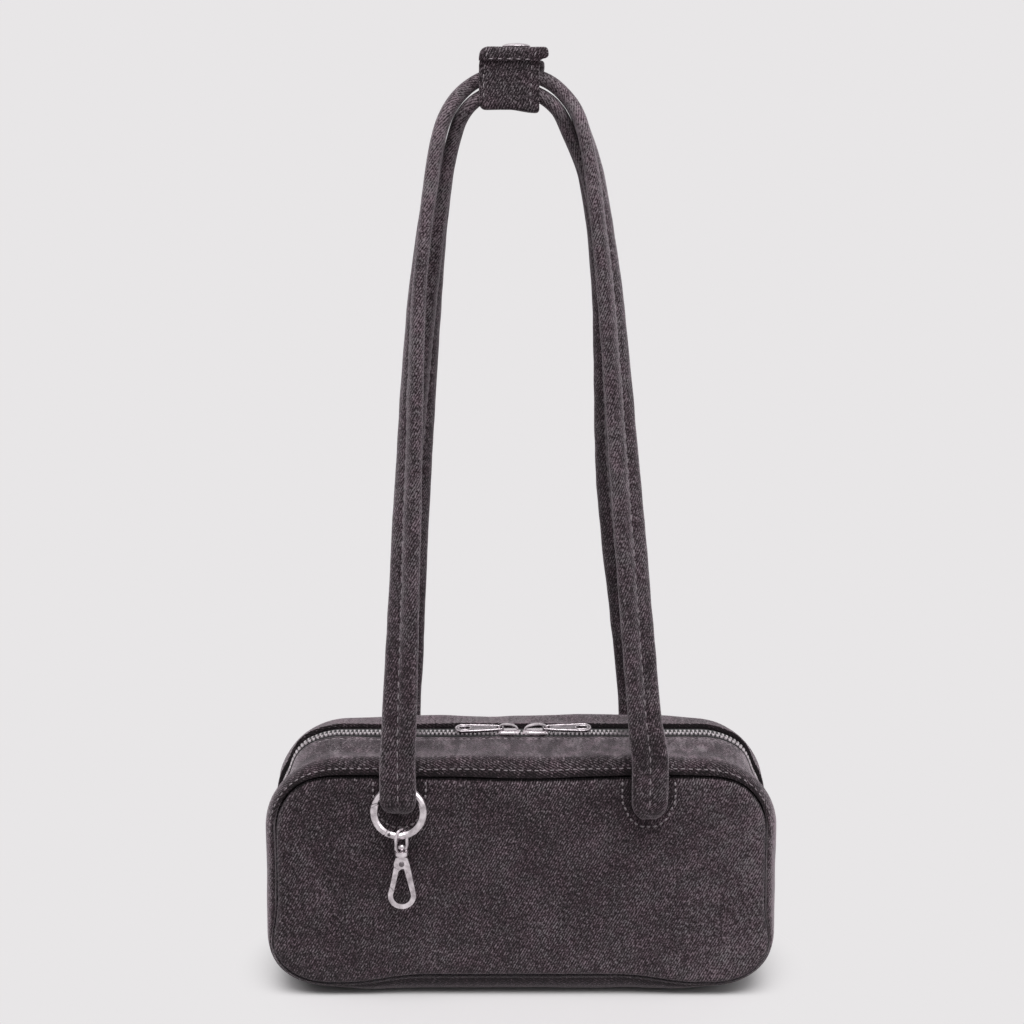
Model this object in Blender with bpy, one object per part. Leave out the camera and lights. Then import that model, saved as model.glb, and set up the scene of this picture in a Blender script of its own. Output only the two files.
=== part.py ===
"""A small bowler bag in washed denim with a two-way zip, two long straps and a ring with a swivel hook.

The bag stands on its flat base. +X is to the right, -Y is the front with the ring, +Z is up.
All sizes are in metres.
"""
import math

import bmesh
import bpy
from mathutils import Matrix, Vector

# Shared fits
GAP = 0.0003
SEAT_GAP = 0.00032
OVERRUN = 0.002

# Body of the bag
BODY_HALF_WIDTH = 0.140
BODY_HEIGHT = 0.1373
SEAM_HALF_DEPTH = 0.045
TOP_CORNER_RADIUS = 0.040
BASE_CORNER_RADIUS = 0.036
TOP_CROWN = 0.0033
CLOTH = 0.0016
SEAM_TUCK = 0.003
ROLL_DEPTH = 0.009
ROLL_DEPTH_AT_BASE = 0.017
ROLL_AT_BASE = 0.0110
ROLL_AT_BASE_CORNER = 0.0050
ROLL_AT_SIDE = 0.0055
ROLL_AT_TOP_CORNER = 0.0052
ROLL_AT_TOP_END = 0.0078
ROLL_AT_TOP = 0.0105
PANEL_EDGE_ROUND = 0.0009
PANEL_PUFF = 0.0008
PANEL_PUFF_WIDTH = 0.0045
PANEL_BULGE = 0.0018
BULGE_HALF_WIDTH = 0.110
BULGE_HALF_HEIGHT = 0.060

# Lining and base board
LINING = 0.0008
LINING_CLEARANCE = 0.0042
LINING_HALF_DEPTH = 0.0400
LINING_CORNER_RADIUS = 0.0120
LINING_MOUTH_HALF_DEPTH = 0.0160
LINING_MOUTH_DROP = 0.0058
BOARD_THICKNESS = 0.0012
BOARD_END_CLEARANCE = 0.003
BOARD_SIDE_CLEARANCE = 0.018
BOARD_CORNER_RADIUS = 0.010

# Zip
ZIP_LINE_Y = 0.0025
ZIP_MEET_X = 0.0013
ZIP_MOUTH_HALF_WIDTH = 0.0050
ZIP_END_DROP = 0.0453
FOLD_RISE = 0.0006
FOLD_WIDTH = 0.0050
TAPE_THICKNESS = 0.0007
TAPE_INNER = 0.0031
TAPE_OUTER = 0.0150
TOOTH_PITCH = 0.0024
TOOTH_WIDTH = 0.0009
TOOTH_HEIGHT = 0.0024
TOOTH_HEAD_HEIGHT = 0.0018
TOOTH_ROOT = 0.0028
TOOTH_REACH = 0.0006
CORD_WIDTH = 0.0009
CHAIN_MARGIN = 0.0008
STOP_LENGTH = 0.0040

# Sliders and pulls
SLIDER_NOSE_GAP = 0.0016
SLIDER_LENGTH = 0.0118
SLIDER_HALF_WIDTH = 0.0043
SLIDER_PLATE = 0.0013
SLIDER_EDGE_ROUND = 0.0004
SLIDER_FLANGE = 0.0012
CROWN_INNER_RADIUS = 0.0014
CROWN_WALL = 0.0014
CROWN_HALF_WIDTH = 0.0009
PULL_LENGTH = 0.0295
PULL_THICKNESS = 0.0015
PULL_INNER_HALF_WIDTH = 0.0029
PULL_OUTER_HALF_WIDTH = 0.0047
PULL_RIM = 0.0011
PULL_RECESS = 0.0003
PULL_HOLE_LENGTH = 0.0062
PULL_HOLE_HALF_WIDTH = 0.0016
PULL_HOLE_INSET = 0.0030

# Straps
STRAP_WIDTH = 0.0196
STRAP_THICKNESS = 0.0076
STRAP_HALF_SPACING = 0.0681
FRONT_STRAP_SHIFT = 0.0016
REAR_STRAP_SHIFT = -0.0005
ARCH_SHIFT = -0.0050
STRAP_REACH = 0.3675
STRAP_NEST = 0.0086
ARCH_HALF_WIDTH = 0.0392
ARCH_RISE = 0.0410
FLEX_START_RISE = 0.0027
FLEX_LENGTH = 0.0185
RING_STRAP_STAND_OFF = 0.0156
PLAIN_STRAP_STAND_OFF = 0.0090
RING_STRAP_TIP_DROP = 0.0252
PLAIN_STRAP_TIP_DROP = 0.0313
STRAP_CURL_RISE = 0.0090
STRAP_STEP = 0.0220
ARCH_STEP = 0.0075
STRAP_CURL_STEP = 0.0035
STAY_OVERHANG = 0.0125
STAY_HEIGHT = 0.0260
STAY_THICKNESS = 0.0008

# Keeper round the straps
KEEPER_WIDTH = 0.032
KEEPER_SHIFT = -0.0065
KEEPER_CLOTH = 0.0015
KEEPER_CORNER_RADIUS = 0.0016
KEEPER_LAYER_EASE = 0.0039
KEEPER_BACK_DROP = 0.0015
SNAP_ROOM = 0.0028
FLAP_WIDTH = 0.0310
FLAP_SHIFT = 0.0048
FLAP_LIP = 0.0065
SNAP_CAP_RADIUS = 0.0075
SNAP_SHIFT = 0.0038
SNAP_CAP_HEIGHT = 0.0020
SNAP_SOCKET_RADIUS = 0.0048
SNAP_BORE_RADIUS = 0.0028
SNAP_NUB_RADIUS = 0.0021
SNAP_FLANGE_RADIUS = 0.0048
SNAP_FLANGE = 0.0006

# Gate ring
RING_RADIUS = 0.0134
RING_WIRE_RADIUS = 0.0022
RING_CENTRE_DROP = 0.0265
RING_STAND_OFF = 0.0101
GATE_PIN_ANGLE = math.radians(247)
GATE_END_ANGLE = math.radians(163)
GATE_CUT_TURN = math.radians(-52)
GATE_HINGE_GAP = 0.0006
GATE_SLOT = 0.0020
GATE_TONGUE = 0.0014
GATE_KNUCKLE_RADIUS = 0.0018
RING_PIN_RADIUS = 0.0006

# Swivel hook
EYE_WIRE_RADIUS = 0.00085
EYE_HALF_WIDTH = 0.0044
EYE_TURN = math.radians(50)
EYE_LIFT = 0.0007
HOOK_SHIFT = 0.0014
CUP_RADIUS = 0.0037
CUP_BASE_RADIUS = 0.0030
CUP_HEIGHT = 0.0034
CUP_DROP = 0.0087
POST_RADIUS = 0.0011
POST_HEAD_RADIUS = 0.0019
HOOK_THICKNESS = 0.0026
HOOK_BAR = 0.0027
HOOK_BEND_RADIUS = 0.0063
HOOK_BEND_DROP = 0.0341
HOOK_HEAD_HALF_WIDTH = 0.0031
HOOK_SHOULDER_HALF_WIDTH = 0.0043
RIVET_DROP = 0.0160
RIVET_RADIUS = 0.0009
RIVET_HEAD_RADIUS = 0.0015
RIVET_HEAD = 0.0003
HOOK_THROAT_DROP = 0.0188
HOOK_GATE_END_DROP = 0.0317
HOOK_NOSE_LIP = 0.0026
HOOK_HEAD_SEAM_RISE = 0.0012
HOOK_SLOT = 0.0016
HOOK_TONGUE = 0.0010
TONGUE_RADIUS = 0.0021
HOOK_EDGE_ROUND = 0.0003

# Tables chosen by hand, as shares of the sizes that they follow
LEG_RISE_SHARES = (0.0, 0.345, 0.654, 0.835)
LEG_DEPTH_SHARES = (1.0, 0.655, 0.345, 0.178)
FRONT_LEFT_SPREAD_SHARES = (0.986, 0.918, 0.843, 0.729)
FRONT_RIGHT_SPREAD_SHARES = (0.959, 0.811, 0.678, 0.557)
REAR_LEFT_SPREAD_SHARES = (0.978, 0.857, 0.708, 0.595)
REAR_RIGHT_SPREAD_SHARES = (0.971, 0.759, 0.675, 0.535)
FRONT_LEFT_TWIST_SHARES = (0.20, 0.53, 0.84, 1.0)
FRONT_RIGHT_TWIST_SHARES = (0.20, 0.41, 0.61, 0.80)
REAR_LEFT_TWIST_SHARES = (0.20, 0.53, 0.84, 1.0)
REAR_RIGHT_TWIST_SHARES = (0.20, 0.46, 0.70, 0.92)
LEG_THICKNESS_SHARES = (0.85, 1.0, 1.0, 1.0)
ARCH_ANGLES = tuple(math.radians(angle) for angle in (18, 40, 62))
ARCH_DEPTH_SHARES = (0.110, 0.012, 0.0)
CURL_ANGLES = tuple(math.radians(angle) for angle in (0, 30, 60, 90))
CURL_WIDTH_SHARES = (0.50, 0.62, 0.88, 1.0)
CURL_THICKNESS_SHARES = (0.50, 0.55, 0.60, 0.62)
STRAP_SECTION_SHARES = (
    (0.0, 0.45), (0.32, 0.95), (0.72, 0.92), (1.0, 0.0), (0.72, -0.92), (0.32, -0.95),
    (0.0, -0.45), (-0.32, -0.95), (-0.72, -0.92), (-1.0, 0.0), (-0.72, 0.92), (-0.32, 0.95),
)

# Finishes: colour, roughness, metallic
DENIM = ((0.060, 0.051, 0.054), 0.90, 0.0)
TWILL_LINING = ((0.030, 0.028, 0.030), 0.85, 0.0)
TAPE = ((0.012, 0.012, 0.013), 0.80, 0.0)
BOARD = ((0.10, 0.09, 0.08), 0.70, 0.0)
SATIN_METAL = ((0.62, 0.61, 0.60), 0.32, 1.0)
BRIGHT_METAL = ((0.72, 0.71, 0.70), 0.24, 1.0)


def clear_scene():
    for old in list(bpy.data.objects):
        bpy.data.objects.remove(old, do_unlink=True)


def make_material(name, finish):
    colour, roughness, metallic = finish
    material = bpy.data.materials.new(name)
    material.use_nodes = True
    shader = material.node_tree.nodes["Principled BSDF"]
    shader.inputs["Base Color"].default_value = (*colour, 1.0)
    shader.inputs["Roughness"].default_value = roughness
    shader.inputs["Metallic"].default_value = metallic
    return material


def add_object(name, mesh, finish):
    """An object in the scene, with its own material and its faces turned outwards."""
    work = bmesh.new()
    work.from_mesh(mesh)
    bmesh.ops.recalc_face_normals(work, faces=work.faces)
    work.to_mesh(mesh)
    work.free()
    mesh.shade_smooth()
    mesh.set_sharp_from_angle(angle=math.radians(35))
    mesh.materials.clear()
    mesh.materials.append(make_material(name, finish))
    piece = bpy.data.objects.new(name, mesh)
    bpy.context.scene.collection.objects.link(piece)
    return piece


def ring_mesh(name, rings, closed=False):
    """A solid through rings of points: end caps on an open run, none on a closed one."""
    mesh = bpy.data.meshes.new(name)
    count = len(rings[0])
    points = [tuple(point) for ring in rings for point in ring]
    faces = []
    spans = len(rings) if closed else len(rings) - 1
    for row in range(spans):
        here = row * count
        there = ((row + 1) % len(rings)) * count
        for place in range(count):
            after = (place + 1) % count
            faces.append((here + place, here + after, there + after, there + place))
    if not closed:
        faces.append(tuple(range(count)))
        faces.append(tuple(reversed(range(len(points) - count, len(points)))))
    mesh.from_pydata(points, [], faces)
    return mesh


def merged_mesh(name, meshes):
    """Several separate solids in one mesh."""
    work = bmesh.new()
    for mesh in meshes:
        work.from_mesh(mesh)
        bpy.data.meshes.remove(mesh)
    joined = bpy.data.meshes.new(name)
    work.to_mesh(joined)
    work.free()
    return joined


def combine(name, base, others, operation):
    """The mesh of base after Boolean operations with the meshes in others."""
    holder = bpy.data.objects.new(name + "_base", oriented(base))
    bpy.context.scene.collection.objects.link(holder)
    cutters = []
    for other in others:
        cutter = bpy.data.objects.new(name + "_other", oriented(other))
        bpy.context.scene.collection.objects.link(cutter)
        change = holder.modifiers.new("change", "BOOLEAN")
        change.operation = operation
        change.solver = "EXACT"
        change.object = cutter
        cutters.append(cutter)
    bpy.context.view_layer.update()
    graph = bpy.context.evaluated_depsgraph_get()
    result = bpy.data.meshes.new_from_object(holder.evaluated_get(graph))
    result.name = name
    for used in [holder, *cutters]:
        bpy.data.objects.remove(used, do_unlink=True)
    return result


def oriented(mesh):
    work = bmesh.new()
    work.from_mesh(mesh)
    bmesh.ops.recalc_face_normals(work, faces=work.faces)
    work.to_mesh(mesh)
    work.free()
    return mesh


def rounded_edges(piece, width, segments):
    bevel = piece.modifiers.new("rounded_edges", "BEVEL")
    bevel.width = width
    bevel.segments = segments
    bevel.limit_method = "ANGLE"
    bevel.angle_limit = math.radians(40)
    return piece


def prism(name, outline, low, high, axis):
    """A flat outline drawn out from low to high along Y or Z."""
    if axis == "Y":
        rings = [[(a, level, b) for a, b in outline] for level in (low, high)]
    else:
        rings = [[(a, b, level) for a, b in outline] for level in (low, high)]
    return ring_mesh(name, rings)


def arc_points(centre, radius, start, end, steps):
    points = []
    for step in range(steps + 1):
        angle = start + (end - start) * step / steps
        points.append((centre[0] + radius * math.cos(angle), centre[1] + radius * math.sin(angle)))
    return points


def turned(name, profile, centre, sides, axis="Z"):
    """A turned solid: profile holds (radius, height) pairs from bottom to top on the axis."""
    rings = []
    for radius, height in profile:
        ring = []
        for side in range(sides):
            angle = 2 * math.pi * side / sides
            across = radius * math.cos(angle)
            along = radius * math.sin(angle)
            if axis == "Z":
                ring.append((centre[0] + across, centre[1] + along, centre[2] + height))
            else:
                ring.append((centre[0] + across, centre[1] + height, centre[2] + along))
        rings.append(ring)
    return ring_mesh(name, rings)


def smooth_step(share):
    share = min(max(share, 0.0), 1.0)
    return share * share * (3 - 2 * share)


def settle(x, y, z):
    """Lower the top towards the bag's ends, apart from the straight zip line."""
    reach = (abs(y - ZIP_LINE_Y) - ZIP_MOUTH_HALF_WIDTH) / (SEAM_HALF_DEPTH - ROLL_DEPTH)
    drop = TOP_CROWN * smooth_step(reach) * (x / BODY_HALF_WIDTH) ** 2 * (z / BODY_HEIGHT) ** 3
    return (x, y, z - drop)


# Heights that follow the body's height
ZIP_END_HEIGHT = BODY_HEIGHT - ZIP_END_DROP
STRAP_TOP_HEIGHT = BODY_HEIGHT + STRAP_REACH
FLEX_BOTTOM_HEIGHT = BODY_HEIGHT + FLEX_START_RISE
FLEX_TOP_HEIGHT = FLEX_BOTTOM_HEIGHT + FLEX_LENGTH
RING_STRAP_TIP_HEIGHT = BODY_HEIGHT - RING_STRAP_TIP_DROP
PLAIN_STRAP_TIP_HEIGHT = BODY_HEIGHT - PLAIN_STRAP_TIP_DROP
RING_CENTRE_HEIGHT = BODY_HEIGHT - RING_CENTRE_DROP

# The outline of the bag, seen from the front, by length from the middle of the base to the middle of the top
BASE_RUN = BODY_HALF_WIDTH - BASE_CORNER_RADIUS
BASE_ARC = math.pi / 2 * BASE_CORNER_RADIUS
SIDE_RUN = BODY_HEIGHT - BASE_CORNER_RADIUS - TOP_CORNER_RADIUS
TOP_ARC = math.pi / 2 * TOP_CORNER_RADIUS
TOP_RUN = BODY_HALF_WIDTH - TOP_CORNER_RADIUS
SIDE_START = BASE_RUN + BASE_ARC
TOP_ARC_START = SIDE_START + SIDE_RUN
TOP_START = TOP_ARC_START + TOP_ARC
HALF_OUTLINE = TOP_START + TOP_RUN
ZIP_END = SIDE_START + ZIP_END_HEIGHT - BASE_CORNER_RADIUS
BASE_STEPS = 4
BASE_ARC_STEPS = 5
SIDE_STEPS = 3
TOP_ARC_STEPS = 7
TOP_STEPS = 4


def outline_at(length):
    """The outline's point (x, z) and outward direction at a length along its right half."""
    if length <= BASE_RUN:
        return (length, 0.0), (0.0, -1.0)
    if length <= SIDE_START:
        angle = -math.pi / 2 + (length - BASE_RUN) / BASE_CORNER_RADIUS
        centre = (BASE_RUN, BASE_CORNER_RADIUS)
        radius = BASE_CORNER_RADIUS
    elif length <= TOP_ARC_START:
        return (BODY_HALF_WIDTH, BASE_CORNER_RADIUS + length - SIDE_START), (1.0, 0.0)
    elif length <= TOP_START:
        angle = (length - TOP_ARC_START) / TOP_CORNER_RADIUS
        centre = (TOP_RUN, BODY_HEIGHT - TOP_CORNER_RADIUS)
        radius = TOP_CORNER_RADIUS
    else:
        return (TOP_RUN - (length - TOP_START), BODY_HEIGHT), (0.0, 1.0)
    out = (math.cos(angle), math.sin(angle))
    return (centre[0] + radius * out[0], centre[1] + radius * out[1]), out


def roll_at(length):
    """The height of the edge roll, from the ridge to the seam."""
    stops = (
        (0.0, ROLL_AT_BASE),
        (BASE_RUN / 2, ROLL_AT_BASE),
        (BASE_RUN + BASE_ARC / 2, ROLL_AT_BASE_CORNER),
        (SIDE_START + SIDE_RUN / 3, ROLL_AT_SIDE),
        (TOP_ARC_START, ROLL_AT_SIDE),
        (TOP_ARC_START + TOP_ARC / 2, ROLL_AT_TOP_CORNER),
        (TOP_START, ROLL_AT_TOP_END),
        (HALF_OUTLINE, ROLL_AT_TOP),
    )
    for (start, low), (end, high) in zip(stops, stops[1:]):
        if length <= end:
            return low + (high - low) * smooth_step((length - start) / (end - start))
    return ROLL_AT_TOP


def outline_lengths(start, end):
    """Lengths from start to end with a point at each change of curve."""
    marks = []
    runs = (
        (0.0, BASE_RUN, BASE_STEPS),
        (BASE_RUN, SIDE_START, BASE_ARC_STEPS),
        (SIDE_START, TOP_ARC_START, SIDE_STEPS),
        (TOP_ARC_START, TOP_START, TOP_ARC_STEPS),
        (TOP_START, HALF_OUTLINE, TOP_STEPS),
    )
    for low, high, steps in runs:
        for step in range(steps):
            marks.append(low + (high - low) * step / steps)
    margin = (end - start) / (8 * len(marks))
    inner = [mark for mark in marks if start + margin < mark < end - margin]
    return [start, *inner, end]


def over_the_top(start):
    """Signed stations from the right side over the top to the left side."""
    lengths = outline_lengths(start, HALF_OUTLINE)
    return [(length, 1) for length in lengths] + [(length, -1) for length in reversed(lengths[:-1])]


def under_the_base(end):
    """Signed stations from the left side under the base to the right side."""
    lengths = outline_lengths(0.0, end)
    return [(length, -1) for length in reversed(lengths)] + [(length, 1) for length in lengths[1:]]


def all_round():
    """Signed stations once round the outline, with no station twice."""
    lengths = outline_lengths(0.0, HALF_OUTLINE)
    right = [(length, 1) for length in lengths]
    left = [(length, -1) for length in reversed(lengths[1:-1])]
    return right + left


def body_point(station, inward, y):
    """A settled point of the body at a station, a distance in from the outline, at a depth y."""
    length, side = station
    (x, z), (out_x, out_z) = outline_at(length)
    return settle(side * (x - out_x * inward), y, z - out_z * inward)


def roll_depth_at(length):
    """How far the edge roll reaches in from the seam's plane: furthest under the base."""
    rise = (length - BASE_RUN) / (BASE_ARC + SIDE_RUN / 3)
    return ROLL_DEPTH_AT_BASE + (ROLL_DEPTH - ROLL_DEPTH_AT_BASE) * smooth_step(rise)


def roll_arc(length, wall, steps):
    """Points (inward, depth) on the edge roll at a length, from the seam to the ridge."""
    roll = roll_at(length)
    reach = roll_depth_at(length)
    points = []
    for step in range(steps + 1):
        angle = math.pi / 2 * step / steps
        inward = roll - (roll - wall) * math.sin(angle)
        depth = SEAM_HALF_DEPTH - reach + (reach - wall) * math.cos(angle)
        points.append((inward, depth))
    return points


def bottom_gusset():
    """The strip round the sides and base, with a roll along both seams."""
    rings = []
    for station in under_the_base(ZIP_END):
        roll = roll_at(station[0])
        outer = [(roll, SEAM_HALF_DEPTH - SEAM_TUCK), *roll_arc(station[0], 0.0, 4)]
        inner = [(roll - CLOTH, SEAM_HALF_DEPTH - SEAM_TUCK), *inner_roll(station[0], 3)]
        front = [(inward, -depth) for inward, depth in outer]
        rear = [(inward, depth) for inward, depth in reversed(outer)]
        rear_inner = list(inner)
        front_inner = [(inward, -depth) for inward, depth in reversed(inner)]
        section = front + rear + rear_inner + front_inner
        rings.append([body_point(station, inward, y) for inward, y in section])
    return add_object("bottom_gusset", ring_mesh("bottom_gusset", rings), DENIM)


def inner_roll(length, steps):
    """The inner face of the roll: a quarter arc one cloth inside the outer one."""
    roll = roll_at(length)
    reach = roll_depth_at(length)
    points = []
    for step in range(steps + 1):
        angle = math.pi / 2 * step / steps
        inward = CLOTH + (roll - 2 * CLOTH) * (1 - math.sin(angle))
        depth = SEAM_HALF_DEPTH - reach + (reach - CLOTH) * math.cos(angle)
        points.append((inward, depth))
    return points


def zip_panel(name, face):
    """A top strip from the zip's folded edge over the ridge to the seam; face is -1 in front, 1 behind."""
    rings = []
    mouth = ZIP_MOUTH_HALF_WIDTH + face * ZIP_LINE_Y
    for station in over_the_top(ZIP_END + GAP):
        roll = roll_at(station[0])
        outer = [(roll, SEAM_HALF_DEPTH - SEAM_TUCK), *roll_arc(station[0], 0.0, 4)]
        outer.append((0.0, mouth + 2 * FOLD_WIDTH))
        outer.append((-FOLD_RISE, mouth + FOLD_WIDTH / 2))
        outer.append((-FOLD_RISE / 2, mouth))
        inner = [(CLOTH - FOLD_RISE / 2, mouth), (CLOTH, mouth + FOLD_WIDTH / 2)]
        inner += reversed(inner_roll(station[0], 3))
        inner.append((roll - CLOTH, SEAM_HALF_DEPTH - SEAM_TUCK))
        section = outer + inner
        rings.append([body_point(station, inward, face * depth) for inward, depth in section])
    return add_object(name, ring_mesh(name, rings), DENIM)


def panel_bulge(x, z):
    """How far the stuffed panel stands out of the seam plane at a place."""
    across = min(abs(x) / BULGE_HALF_WIDTH, 1.0)
    up = min(abs(z - PANEL_MIDDLE_HEIGHT) / BULGE_HALF_HEIGHT, 1.0)
    return PANEL_PUFF + PANEL_BULGE * (1 - across ** 2) * (1 - up ** 2)


PANEL_MIDDLE_HEIGHT = BODY_HEIGHT / 2
PANEL_CORE_HALF_LENGTH = BODY_HALF_WIDTH - BODY_HEIGHT / 2
PANEL_LOOP_SHARES = (0.34, 0.72)


def main_panel(name, face):
    """The front or rear panel, tucked in along its seam like a shallow tray."""
    stations = all_round()

    def loop(inset, depth):
        points = []
        for station in stations:
            x, _, z = body_point(station, roll_at(station[0]) + GAP + inset, face * SEAM_HALF_DEPTH)
            points.append((x, face * depth, z))
        return points

    def drawn_in(share, wall):
        points = []
        for x, _, z in loop(PANEL_PUFF_WIDTH, 0.0):
            core_x = min(max(x, -PANEL_CORE_HALF_LENGTH), PANEL_CORE_HALF_LENGTH)
            near_x = x + (core_x - x) * share
            near_z = z + (PANEL_MIDDLE_HEIGHT - z) * share
            depth = SEAM_HALF_DEPTH + panel_bulge(near_x, near_z) - wall
            points.append((near_x, face * depth, near_z))
        return points

    tuck_depth = SEAM_HALF_DEPTH - SEAM_TUCK
    rings = [drawn_in(share, CLOTH) for share in reversed(PANEL_LOOP_SHARES)]
    rings.append(drawn_in(0.0, CLOTH))
    rings.append(loop(CLOTH, SEAM_HALF_DEPTH - CLOTH))
    rings.append(loop(CLOTH, tuck_depth))
    rings.append(loop(0.0, tuck_depth))
    rings.append(loop(0.0, SEAM_HALF_DEPTH - PANEL_EDGE_ROUND))
    rings.append(loop(PANEL_EDGE_ROUND, SEAM_HALF_DEPTH))
    rings += [drawn_in(share, 0.0) for share in (0.0, *PANEL_LOOP_SHARES)]
    return add_object(name, ring_mesh(name, rings), DENIM)


def outline_half_width(z, inset):
    """Half the width of the outline at a height, after an even inset."""
    low_rise = max(BASE_CORNER_RADIUS - z, 0.0)
    low = BASE_RUN + math.sqrt(max((BASE_CORNER_RADIUS - inset) ** 2 - low_rise ** 2, 0.0))
    high_rise = max(z - (BODY_HEIGHT - TOP_CORNER_RADIUS), 0.0)
    high = TOP_RUN + math.sqrt(max((TOP_CORNER_RADIUS - inset) ** 2 - high_rise ** 2, 0.0))
    return min(low, high)


def rounded_rectangle(half_length, half_depth, radius, steps):
    """A loop (x, y) with round corners."""
    radius = min(radius, half_length, half_depth)
    corners = ((1, 1, 0), (-1, 1, 1), (-1, -1, 2), (1, -1, 3))
    quarter = math.pi / 2
    points = []
    for side_x, side_y, turn in corners:
        centre = (side_x * (half_length - radius), side_y * (half_depth - radius))
        points += arc_points(centre, radius, turn * quarter, (turn + 1) * quarter, steps)
    return points


LINING_FLOOR = LINING_CLEARANCE
LINING_LEVEL_SHARES = (0.0, 0.05, 0.16, 0.45, 0.66, 0.82, 0.92)
LINING_CORNER_STEPS = 4


def lining():
    """A pouch inside the walls, open along the top and sewn to the zip tapes there."""
    mouth_height = BODY_HEIGHT - LINING_MOUTH_DROP

    def loop(height, half_depth, wall):
        half_length = outline_half_width(height, LINING_CLEARANCE + wall)
        radius = max(LINING_CORNER_RADIUS - wall, wall)
        flat = rounded_rectangle(half_length, half_depth - wall, radius, LINING_CORNER_STEPS)
        return [settle(x, y, height) for x, y in flat]

    def levels(wall):
        floor = LINING_FLOOR + wall
        rows = []
        for share in LINING_LEVEL_SHARES:
            height = floor + (mouth_height - floor) * share
            squeeze = LINING_HALF_DEPTH - LINING_CORNER_RADIUS / 2 if share == 0.0 else LINING_HALF_DEPTH
            rows.append(loop(height, squeeze, wall))
        top = mouth_height - wall
        rows.append(loop(top, (LINING_HALF_DEPTH + LINING_MOUTH_HALF_DEPTH) / 2, wall))
        return rows

    outer = levels(0.0)
    inner = levels(LINING)
    rim = loop(mouth_height, LINING_MOUTH_HALF_DEPTH, 0.0)
    rim_inner = loop(mouth_height - LINING, LINING_MOUTH_HALF_DEPTH, 0.0)
    rings = [*outer, rim, rim_inner, *reversed(inner)]
    return add_object("lining", ring_mesh("lining", rings), TWILL_LINING)


def base_board():
    """The stiff board on the base, under the lining."""
    half_length = BASE_RUN - BOARD_END_CLEARANCE
    half_depth = SEAM_HALF_DEPTH - BOARD_SIDE_CLEARANCE
    outline = rounded_rectangle(half_length, half_depth, BOARD_CORNER_RADIUS, 4)
    low = CLOTH + SEAT_GAP
    mesh = prism("base_board", outline, low, low + BOARD_THICKNESS, "Z")
    return add_object("base_board", mesh, BOARD)


# Levels of the zip, measured in from the outline
TAPE_TOP = CLOTH + GAP
TAPE_MIDDLE = TAPE_TOP + TAPE_THICKNESS / 2
TEETH_TOP = TAPE_MIDDLE - TOOTH_HEIGHT / 2
TEETH_BOTTOM = TAPE_MIDDLE + TOOTH_HEIGHT / 2
CHAIN_START = ZIP_END + STOP_LENGTH + 2 * GAP
CHAIN_LENGTH = 2 * (HALF_OUTLINE - CHAIN_START)


def zip_tape(name, face):
    """A woven tape under the folded edge."""
    rings = []
    for station in over_the_top(ZIP_END + GAP):
        section = (
            (TAPE_TOP, TAPE_INNER), (TAPE_TOP, TAPE_OUTER),
            (TAPE_TOP + TAPE_THICKNESS, TAPE_OUTER), (TAPE_TOP + TAPE_THICKNESS, TAPE_INNER),
        )
        ring = [body_point(station, inward, ZIP_LINE_Y + face * depth) for inward, depth in section]
        rings.append(ring)
    return add_object(name, ring_mesh(name, rings), TAPE)


def chain_station(travel):
    """A signed station at a distance along the chain, from the right end over the top."""
    length = CHAIN_START + travel
    if length <= HALF_OUTLINE:
        return (length, 1)
    return (2 * HALF_OUTLINE - length, -1)


def chain_point(travel, inward, y):
    """A point of the chain, which isn't lowered with the cloth beside it."""
    length, side = chain_station(travel)
    (x, z), (out_x, out_z) = outline_at(length)
    return (side * (x - out_x * inward), y, z - out_z * inward)


def zip_teeth(name, face, first):
    """One row of teeth on the cord along the tape's edge; each tooth reaches just past the zip's middle line."""
    count = int((CHAIN_LENGTH - 2 * TOOTH_PITCH) / TOOTH_PITCH)
    edge = ZIP_LINE_Y + face * TOOTH_ROOT
    inside = ZIP_LINE_Y + face * (TOOTH_ROOT - CORD_WIDTH)
    tip = ZIP_LINE_Y - face * TOOTH_REACH
    lift = (TOOTH_HEIGHT - TOOTH_HEAD_HEIGHT) / 2
    points = []
    faces = []
    for number in range(count):
        middle = CHAIN_MARGIN + TOOTH_PITCH * (number + first)
        for travel in (middle - TOOTH_WIDTH / 2, middle + TOOTH_WIDTH / 2):
            points.append(chain_point(travel, TEETH_TOP, edge))
            points.append(chain_point(travel, TEETH_BOTTOM, edge))
            points.append(chain_point(travel, TEETH_BOTTOM, inside))
            points.append(chain_point(travel, TEETH_TOP, inside))
            points.append(chain_point(travel, TEETH_BOTTOM - lift, tip))
            points.append(chain_point(travel, TEETH_TOP + lift, tip))
        here, there = 12 * number, 12 * number + 6
        faces.append((here + 3, here + 5, here + 4, here + 2))
        faces.append((there + 3, there + 2, there + 4, there + 5))
        faces.append((here + 4, here + 5, there + 5, there + 4))
        faces.append((here + 3, there + 3, there + 5, here + 5))
        faces.append((here + 2, here + 4, there + 4, there + 2))
        for row in (here, there) if number < count - 1 else (here,):
            after = row + 6
            faces.append((row, row + 1, after + 1, after))
            faces.append((row + 1, row + 2, after + 2, after + 1))
            faces.append((row + 3, row, after, after + 3))
            if row == there:
                faces.append((row + 2, row + 3, after + 3, after + 2))
    last = len(points) - 6
    faces.append((0, 3, 2, 1))
    faces.append((last, last + 1, last + 2, last + 3))
    mesh = bpy.data.meshes.new(name)
    mesh.from_pydata(points, [], faces)
    return add_object(name, mesh, BRIGHT_METAL)


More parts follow.
